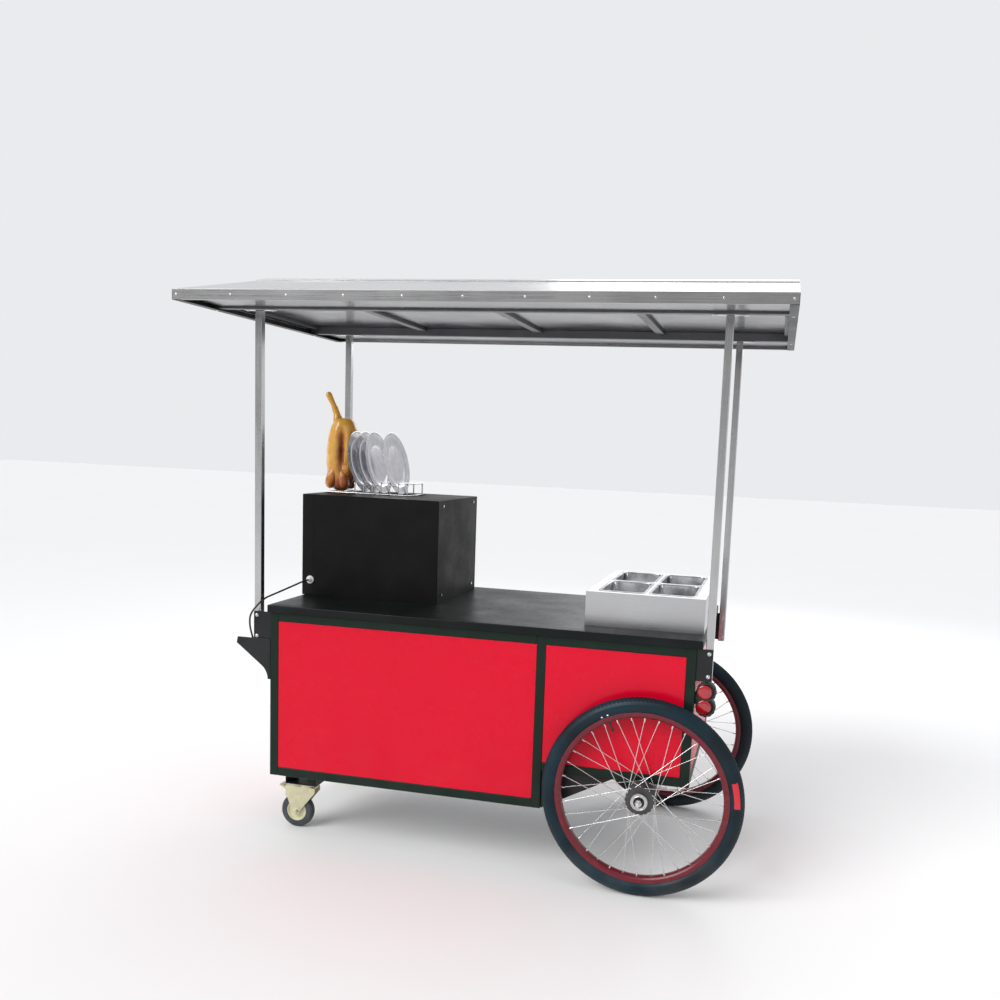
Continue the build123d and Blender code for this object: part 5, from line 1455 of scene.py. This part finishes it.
@dataclass
class Warmer:
    """The black food warmer with its door, window, handle, knob and cord grommet."""

    def build(self) -> None:
        """Eases the sheet work, and turns the knob."""
        refined("warmer_shell", WARMER_PAINT, 0.0007)
        refined("warmer_covers", WARMER_PAINT, 0.0007)
        refined("warmer_door", WARMER_PAINT, 0.0010)
        refined("warmer_window", DARK_GLASS, 0.0008)
        refined("warmer_door_handle", BRIGHT_STEEL, 0.0006)
        knob("warmer_knob_fluted", "warmer_knob", "warmer_knob")


@dataclass
class WarmerCord:
    """The warmer's cord: out of its grommet, over the worktop's end and into the cabinet's end."""

    length: float = 0.540
    diameter: float = 0.0065
    seat: float = -0.114
    route: ClassVar[tuple] = (
        (-0.733, -0.128, 0.908), (-0.735, -0.160, 0.908), (-0.744, -0.208, 0.899), (-0.762, -0.258, 0.886),
        (-0.776, -0.309, 0.875), (-0.782, -0.352, 0.869), (-0.792, -0.385, 0.849), (-0.817, -0.391, 0.815),
        (-0.831, -0.372, 0.775), (-0.834, -0.352, 0.733), (-0.828, -0.338, 0.693), (-0.806, -0.318, 0.660),
        (-0.759, -0.304, 0.650),
    )

    def build(self) -> None:
        """One smooth curve through the route, with a grommet at each of its ends."""
        data = bpy.data.curves.new("cord_line", "CURVE")
        data.dimensions = "3D"
        data.bevel_depth = self.diameter / 2
        data.bevel_resolution = 6
        data.resolution_u = 12
        spline = data.splines.new("NURBS")
        spline.points.add(len(self.route) - 1)
        weights = np.ones((len(self.route), 4))
        weights[:, :3] = self.route
        spline.points.foreach_set("co", weights.ravel())
        spline.order_u = 3
        spline.use_endpoint_u = True
        data.materials.append(CORD_JACKET.material())
        line = linked("cord_line", data)
        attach(line, "cart")
        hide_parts("warmer_cord")
        self.grommets()

    def grommets(self) -> None:
        """A flanged white ring with a ribbed, tapered relief on the warmer; a plain one on the cabinet."""
        boxes = sorted(solid_boxes("cord_grommets"), key=lambda box: float(box[0][1]))
        low, high = boxes[-1]
        centre = ((low[0] + high[0]) / 2, 0.0, (low[2] + high[2]) / 2)
        nose, seat = low[1], self.seat
        bore = self.diameter / 2 - 0.0001
        steps = np.linspace(0.0, 1.0, 11)
        taper = np.stack([0.0085 - 0.0034 * steps + 0.0005 * (np.arange(11) % 2),
                          seat - 0.0042 + (nose - seat + 0.0042) * steps], axis=-1)
        profile = np.concatenate([
            [[bore, high[1]], [0.009, high[1]], [0.009, seat], [0.015, seat], [0.015, seat - 0.0028],
             [0.0140, seat - 0.004], [0.0095, seat - 0.0042]], taper, [[bore, nose]]])
        patches = [turned(profile, centre, Axis.Y, 48, closed=True)]
        low, high = boxes[0]
        centre = (0.0, (low[1] + high[1]) / 2, (low[2] + high[2]) / 2)
        lip = np.array([
            [bore, high[0]], [0.008, high[0]], [0.008, high[0] - 0.003], [0.011, high[0] - 0.003],
            [0.011, low[0] + 0.003], [0.0095, low[0] + 0.0008], [0.0065, low[0]], [bore, low[0]]])
        patches.append(turned(rounded_line(lip, 0.0008, 3, True), centre, Axis.X, 48, closed=True))
        piece("cord_rings", patches, [WHITE_PLASTIC], "cart", ["cord_grommets"], angle=40.0)


@dataclass
class RackAndPlates:
    """The wire rack on the warmer and the plates that lean in it."""

    lean: float = math.radians(12.0)
    plate_radius: float = 0.122
    rise: float = 0.0056
    seat: float = 0.002

    def build(self) -> None:
        """Smooths the rack's wires and turns each plate at its own place."""
        refined("plate_rack", BRIGHT_STEEL, 0.0, angle=50.0)
        normal = np.array([math.cos(self.lean), 0.0, math.sin(self.lean)])
        across = np.array([0.0, 1.0, 0.0])
        up = np.cross(normal, across)
        r = self.plate_radius
        line = rounded_line(np.array([
            [0.0, 0.0008], [0.070, 0.0008], [0.084, 0.0016], [0.096, 0.0042], [0.114, 0.0050],
            [r - 0.0006, self.rise], [r, 0.0050], [r - 0.0006, 0.0042], [0.114, 0.0036], [0.097, 0.0028],
            [0.085, 0.0002], [0.070, -0.0014], [0.066, -0.0016], [0.062, -0.0012], [0.0, -0.0012],
        ]), 0.0016, 4)
        angle = np.linspace(0.0, 2 * np.pi, 96, endpoint=False)[:, None, None]
        around = across * np.cos(angle) + up * np.sin(angle)
        plate = around * line[None, :, :1] + normal * line[None, :, 1:]
        patches = [
            grid((low + high) / 2 - self.seat * normal + plate, True) for low, high in solid_boxes("plates")
        ]
        piece("plates_turned", patches, [PLATE_STEEL], "plates", ["plates"], angle=50.0)


@dataclass
class DisplayDuck:
    """The roast duck that stands at the rack's handle end, neck up."""

    height: float = 0.284
    radius: float = 0.066
    neck_reach: float = 0.165
    breast_lean: float = 0.018
    limb_offset: float = 0.030
    recess_angle: float = math.radians(-72.0)
    recess_spread: float = 0.30
    recess_height: float = 0.56
    recess_depth: float = 0.024

    def build(self) -> None:
        """Body, wings, legs and neck in one piece, coloured by the roast attribute, with painted shade in the
        hollow and on the lower +X side.
        """
        low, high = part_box("display_duck")
        middle = np.array([high.x - 0.070, (low.y + high.y) / 2, low.z])
        patches = [self.body(middle), *self.limbs(middle), *self.neck(middle)]
        made = piece("duck_roasted", patches, [ROAST_SKIN], "duck", ["display_duck"], angle=70.0)
        self.colour(made, middle)

    def recess(self, angle: np.ndarray, height: np.ndarray, spread: float) -> np.ndarray:
        """How far a point lies in the long hollow between breast and leg.

        Args:
            angle: The point's angle about the body's axis.
            height: Its height as a share of the body's.
            spread: The hollow's half height, as such a share.

        Returns:
            From 0 outside to 1 in the hollow's middle.
        """
        away = np.angle(np.exp(1j * (angle - self.recess_angle)))
        return bell(away, 0.0, self.recess_spread) * bell(height, self.recess_height, spread, 4)

    def body(self, middle: np.ndarray) -> Patch:
        """The body: radius R sin(pi u^1.12)^0.55 leaned to the breast, with a hollow and soft folds.

        Args:
            middle: The foot of its axis.

        Returns:
            The body's surface.
        """
        u = np.linspace(0.0, 1.0, 72)[:, None]
        a = np.linspace(0.0, 2 * np.pi, 112, endpoint=False)[None, :]
        reach = self.radius * np.sin(np.pi * np.clip(u, 1e-4, 1 - 1e-4) ** 1.12) ** 0.55
        reach = reach * (1.0 - 0.10 * u)
        fold = 0.0012 * np.sin(9 * a + 5 * u) * np.sin(np.pi * u) + 0.0008 * np.sin(17 * u * np.pi + 3 * a)
        reach = reach - self.recess_depth * self.recess(a, u, 0.20) + fold * np.sin(np.pi * u)
        x = reach * np.cos(a) + self.breast_lean * (u - 0.5)
        y = reach * np.sin(a) * 0.86
        z = np.broadcast_to(self.height * (0.5 - 0.5 * np.cos(np.pi * u)), x.shape)
        return grid(np.stack([x, y, z], axis=-1) + middle, False, True)

    def lobe(self, centre: np.ndarray, sizes: Sequence[float], slant: float) -> Patch:
        """An egg-shaped lobe, slanted in the XZ plane, fuller at its foot.

        Args:
            centre: Its middle.
            sizes: Half sizes across, deep and tall.
            slant: Its turn, in degrees.

        Returns:
            The lobe's surface.
        """
        u = np.linspace(0.0, np.pi, 28)[:, None]
        a = np.linspace(0.0, 2 * np.pi, 40, endpoint=False)[None, :]
        reach = np.sin(u) * (1.0 + 0.22 * np.cos(u)) * (1.0 + 0.05 * np.sin(5 * a + 4 * u) * np.sin(u))
        z = np.broadcast_to(-sizes[2] * np.cos(u), reach.shape)
        points = np.stack([sizes[0] * reach * np.cos(a), sizes[1] * reach * np.sin(a), z], axis=-1)
        turn = np.array(Matrix.Rotation(math.radians(slant), 3, "Y"))
        return grid(points @ turn.T + centre, False, True)

    def limbs(self, middle: np.ndarray) -> list[Patch]:
        """A folded wing and two legs on each face: places in X and Z, half sizes and slants."""
        return [
            self.lobe(middle + [x, face * self.limb_offset, z], sizes, slant)
            for face in (-1.0, 1.0)
            for x, z, sizes, slant in (
                (0.034, 0.150, (0.013, 0.013, 0.060), 4.0),
                (-0.028, 0.056, (0.022, 0.024, 0.050), 16.0),
                (0.020, 0.046, (0.019, 0.021, 0.040), -12.0),
            )
        ]

    def neck(self, middle: np.ndarray) -> list[Patch]:
        """The neck: a tapering tube whose line bends up and away from the rack, ending in a singed tip."""
        t = np.linspace(0.0, 1.0, 34)
        line = np.stack([
            -0.016 - 0.030 * t - 0.016 * t**2 + 0.005 * np.sin(4 * t), np.zeros(34),
            self.height - 0.045 + (self.neck_reach - 0.022) * t], axis=-1)
        thick = 0.020 * (1 - t) ** 3.0 + 0.0112 - 0.0012 * t + 0.0030 * bell(t, 0.90, 0.08)
        thick = thick * (1.0 + 0.05 * np.sin(26 * t)) * np.clip((1.02 - t) / 0.06, 0.25, 1.0) ** 0.5
        return carried(middle + line, thick, 28, (0.0, 1.0, 0.0))

    def colour(self, made: bpy.types.Object, middle: np.ndarray) -> None:
        """Writes the roast attribute, 0 gold to 1 nearly black: painted shade in the hollow between breast
        and leg and on the lower +X side, darker towards the foot, and the singed tip.
        """
        mesh = made.data
        points = np.zeros(len(mesh.vertices) * 3, np.float32)
        mesh.vertices.foreach_get("co", points)
        x, y, z = (points.reshape(-1, 3) - middle).T
        # Painted shade in the hollow between breast and leg.
        hollow_shade = self.recess(np.arctan2(y, x), z / self.height, 0.24)
        hollow_shade *= np.clip((0.056 - np.hypot(x, y)) / 0.014, 0.0, 1.0)
        foot = np.clip((0.125 - z) / 0.08, 0.0, 1.0) * 0.55
        tip = np.clip((z - self.height - 0.105) / 0.014, 0.0, 1.0) * 0.8
        # Painted shade on the lower +X side.
        side = np.clip((x - 0.018) / 0.04, 0.0, 1.0) * np.clip(1.2 - z / 0.2, 0.0, 1.0) * 0.3
        value = np.clip(hollow_shade + foot + tip + side, 0.0, 1.0).astype(np.float32)
        mesh.attributes.new("roast", "FLOAT", "POINT").data.foreach_set("value", value)


@dataclass
class BainMarie:
    """The bright water-bath casing with four lift-out pans and its knob."""

    half: tuple[float, float] = (0.081, 0.1325)
    flange: float = 0.009
    wall: float = 0.0009
    foot_radius: float = 0.014

    def build(self) -> None:
        """Eases the casing, lofts the pans and turns the knob."""
        refined("bain_marie_casing", BAIN_STEEL, 0.0006)
        for number in range(1, 5):
            self.pan(number)
        knob("bain_knob_fluted", "bain_marie_knob", "bain_knob")

    def foot_rings(self, half_x: float, half_y: float, corner: float, floor: float) -> list[tuple]:
        """Rings up the quarter round between a pan's floor and its wall.

        Args:
            half_x: The wall's half size in x.
            half_y: The wall's half size in y.
            corner: The wall's corner radius.
            floor: The floor's height.

        Returns:
            The rings, from the floor up.
        """
        rings = []
        for angle in np.linspace(0.0, math.pi / 2, 6):
            inset = self.foot_radius * (1 - math.sin(angle))
            height = floor + self.foot_radius * (1 - math.cos(angle))
            rings.append((half_x - inset, half_y - inset, max(corner - inset, 0.004), height))
        return rings

    def pan(self, number: int) -> None:
        """A pressed pan: rolled rim, straight walls, a rounded foot and the same back up outside.

        Args:
            number: Which pan, 1 to 4.
        """
        low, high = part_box(f"food_pan_{number}")
        centre = ((low.x + high.x) / 2, (low.y + high.y) / 2, 0.0)
        hx, hy = self.half
        ox, oy = hx - self.flange, hy - self.flange
        ix, iy = ox - self.wall, oy - self.wall
        top, foot = high.z, low.z
        floor = foot + self.wall
        rings = [(0.0002, 0.0002, 0.0001, floor), (ix - 0.020, iy - 0.020, 0.008, floor)]
        rings += self.foot_rings(ix, iy, 0.017, floor)
        rings += [
            (ix, iy, 0.017, top - 0.004), (ix + 0.0004, iy + 0.0004, 0.017, top - 0.0012),
            (ix + 0.0016, iy + 0.0016, 0.018, top), (hx - 0.0012, hy - 0.0012, 0.021, top),
            (hx, hy, 0.022, top - 0.0006), (hx, hy, 0.022, top - 0.0013),
            (hx - 0.001, hy - 0.001, 0.021, top - 0.0017), (ox + 0.001, oy + 0.001, 0.018, top - 0.0017),
            (ox, oy, 0.018, top - 0.003),
        ]
        rings += self.foot_rings(ox, oy, 0.018, foot)[::-1]
        rings.append((0.0002, 0.0002, 0.0001, foot))
        pressed = [lofted(rings, centre)]
        nodes = [f"food_pan_{number}"]
        piece(f"pan_{number}_pressed", pressed, [PAN_STEEL], f"pan_{number}", nodes, angle=50.0, weld=1e-5)


# ---- stage -------------------------------------------------------------------------------------
@dataclass(frozen=True)
class Viewpoint:
    """Where the camera stands and how it is turned: turns about Z, X and Y in that order."""

    spot: tuple[float, float, float] = (0.956, -3.354, 1.438)
    yaw: float = 0.219
    pitch: float = -0.124
    roll: float = -0.042
    lens: float = 34.2
    shift_x: float = -0.0626
    shift_y: float = 0.0662

    def build(self) -> None:
        """Makes the camera, looking along the turned +Y axis."""
        data = bpy.data.cameras.new("camera")
        data.lens = self.lens
        data.sensor_width = 36.0
        data.shift_x, data.shift_y = self.shift_x, self.shift_y
        data.clip_start, data.clip_end = 0.05, 100.0
        turn = (
            Matrix.Rotation(self.yaw, 3, "Z") @ Matrix.Rotation(self.pitch, 3, "X")
            @ Matrix.Rotation(self.roll, 3, "Y")
        )
        look = Matrix((turn.col[0], turn.col[2], -turn.col[1])).transposed()
        camera = linked("camera", data)
        camera.matrix_world = Matrix.Translation(self.spot) @ look.to_4x4()
        bpy.context.scene.camera = camera


@dataclass
class Studio:
    """A plain pale floor under soft light."""

    floor_half: float = 30.0
    near_sky: Colour = (0.42, 0.42, 0.43)
    far_sky: Colour = (0.82, 0.83, 0.85)
    sky_turn: float = 0.35
    key_strength: float = 2.3
    key_spread: float = 0.7
    key_way: tuple[float, float, float] = (0.52, 0.62, -0.60)
    lamps: ClassVar[tuple] = (
        ("fill", (4.2, -3.0, 2.4), (0.2, 0.0, 0.8), 2.6, 20.0),
        ("back", (0.5, 4.5, 3.6), (0.0, 0.0, 1.1), 3.0, 60.0),
        ("top", (0.0, -0.5, 5.5), (0.0, 0.0, 0.0), 3.4, 40.0),
    )

    def build(self) -> None:
        """Makes the floor, the sky, the key light and the square lamps: spot, target, side and watts."""
        half = self.floor_half
        corners = np.array([[[x, y, 0.0] for x in (-half, half)] for y in (-half, half)])
        pale = Finish(
            "studio_floor", "", (0.86, 0.86, 0.86), (0.82, 0.82, 0.82), 0.6, 0.75, wear=0.2, wear_scale=0.5,
            peel_depth=0.0, dust=0.0, specular=0.2)
        mesh_piece("studio_floor", [grid(corners)], [pale])
        self.sky()
        key = {"energy": self.key_strength, "angle": self.key_spread}
        self.light("SUN", "key", (0.0, 0.0, 0.0), Vector(self.key_way), key)
        for name, spot, target, size, power in self.lamps:
            settings = {"shape": "SQUARE", "size": size, "energy": power}
            self.light("AREA", name, spot, Vector(target) - Vector(spot), settings)

    def sky(self) -> None:
        """A sky that is bright behind the cart and dim before it."""
        world = bpy.data.worlds.new("studio_sky")
        world.use_nodes = True
        sheet = Sheet(world.node_tree)
        background = world.node_tree.nodes["Background"]
        place = sheet.add("ShaderNodeTexCoord").outputs["Generated"]
        depth = sheet.add("ShaderNodeSeparateXYZ", {0: place}).outputs[1]
        share = sheet.span(depth, -self.sky_turn, self.sky_turn)
        colour = sheet.blend(share, opaque(self.near_sky), opaque(self.far_sky))
        sheet.feed(colour, background.inputs["Color"])
        background.inputs["Strength"].default_value = 1.0
        bpy.context.scene.world = world

    @staticmethod
    def light(kind: str, name: str, spot: Sequence[float], way: Vector, settings: dict) -> None:
        """One light.

        Args:
            kind: The kind of light.
            name: Its name.
            spot: Where it hangs.
            way: Which way it shines.
            settings: Its own settings.
        """
        data = bpy.data.lights.new(name, kind)
        for setting, value in settings.items():
            setattr(data, setting, value)
        hung = linked(name, data)
        hung.location = spot
        hung.rotation_euler = way.to_track_quat("-Z", "Y").to_euler()


def main() -> None:
    """Builds the camera and cord first, then every sub-assembly."""
    logging.basicConfig(level=logging.INFO, format="%(name)s: %(message)s")
    assemblies: list[Any] = [
        Viewpoint(), WarmerCord(), Studio(), Cabinet(), Worktop(), Posts(), Fasteners(), Roof(), PushHandle(),
        Running(), Casters(), MarkerLamp(), Warmer(), RackAndPlates(), DisplayDuck(), BainMarie(),
    ]
    for assembly in assemblies:
        LOG.info("building %s", type(assembly).__name__)
        assembly.build()
    bpy.context.scene.view_settings.view_transform = "Standard"


if __name__ == "__main__":
    main()
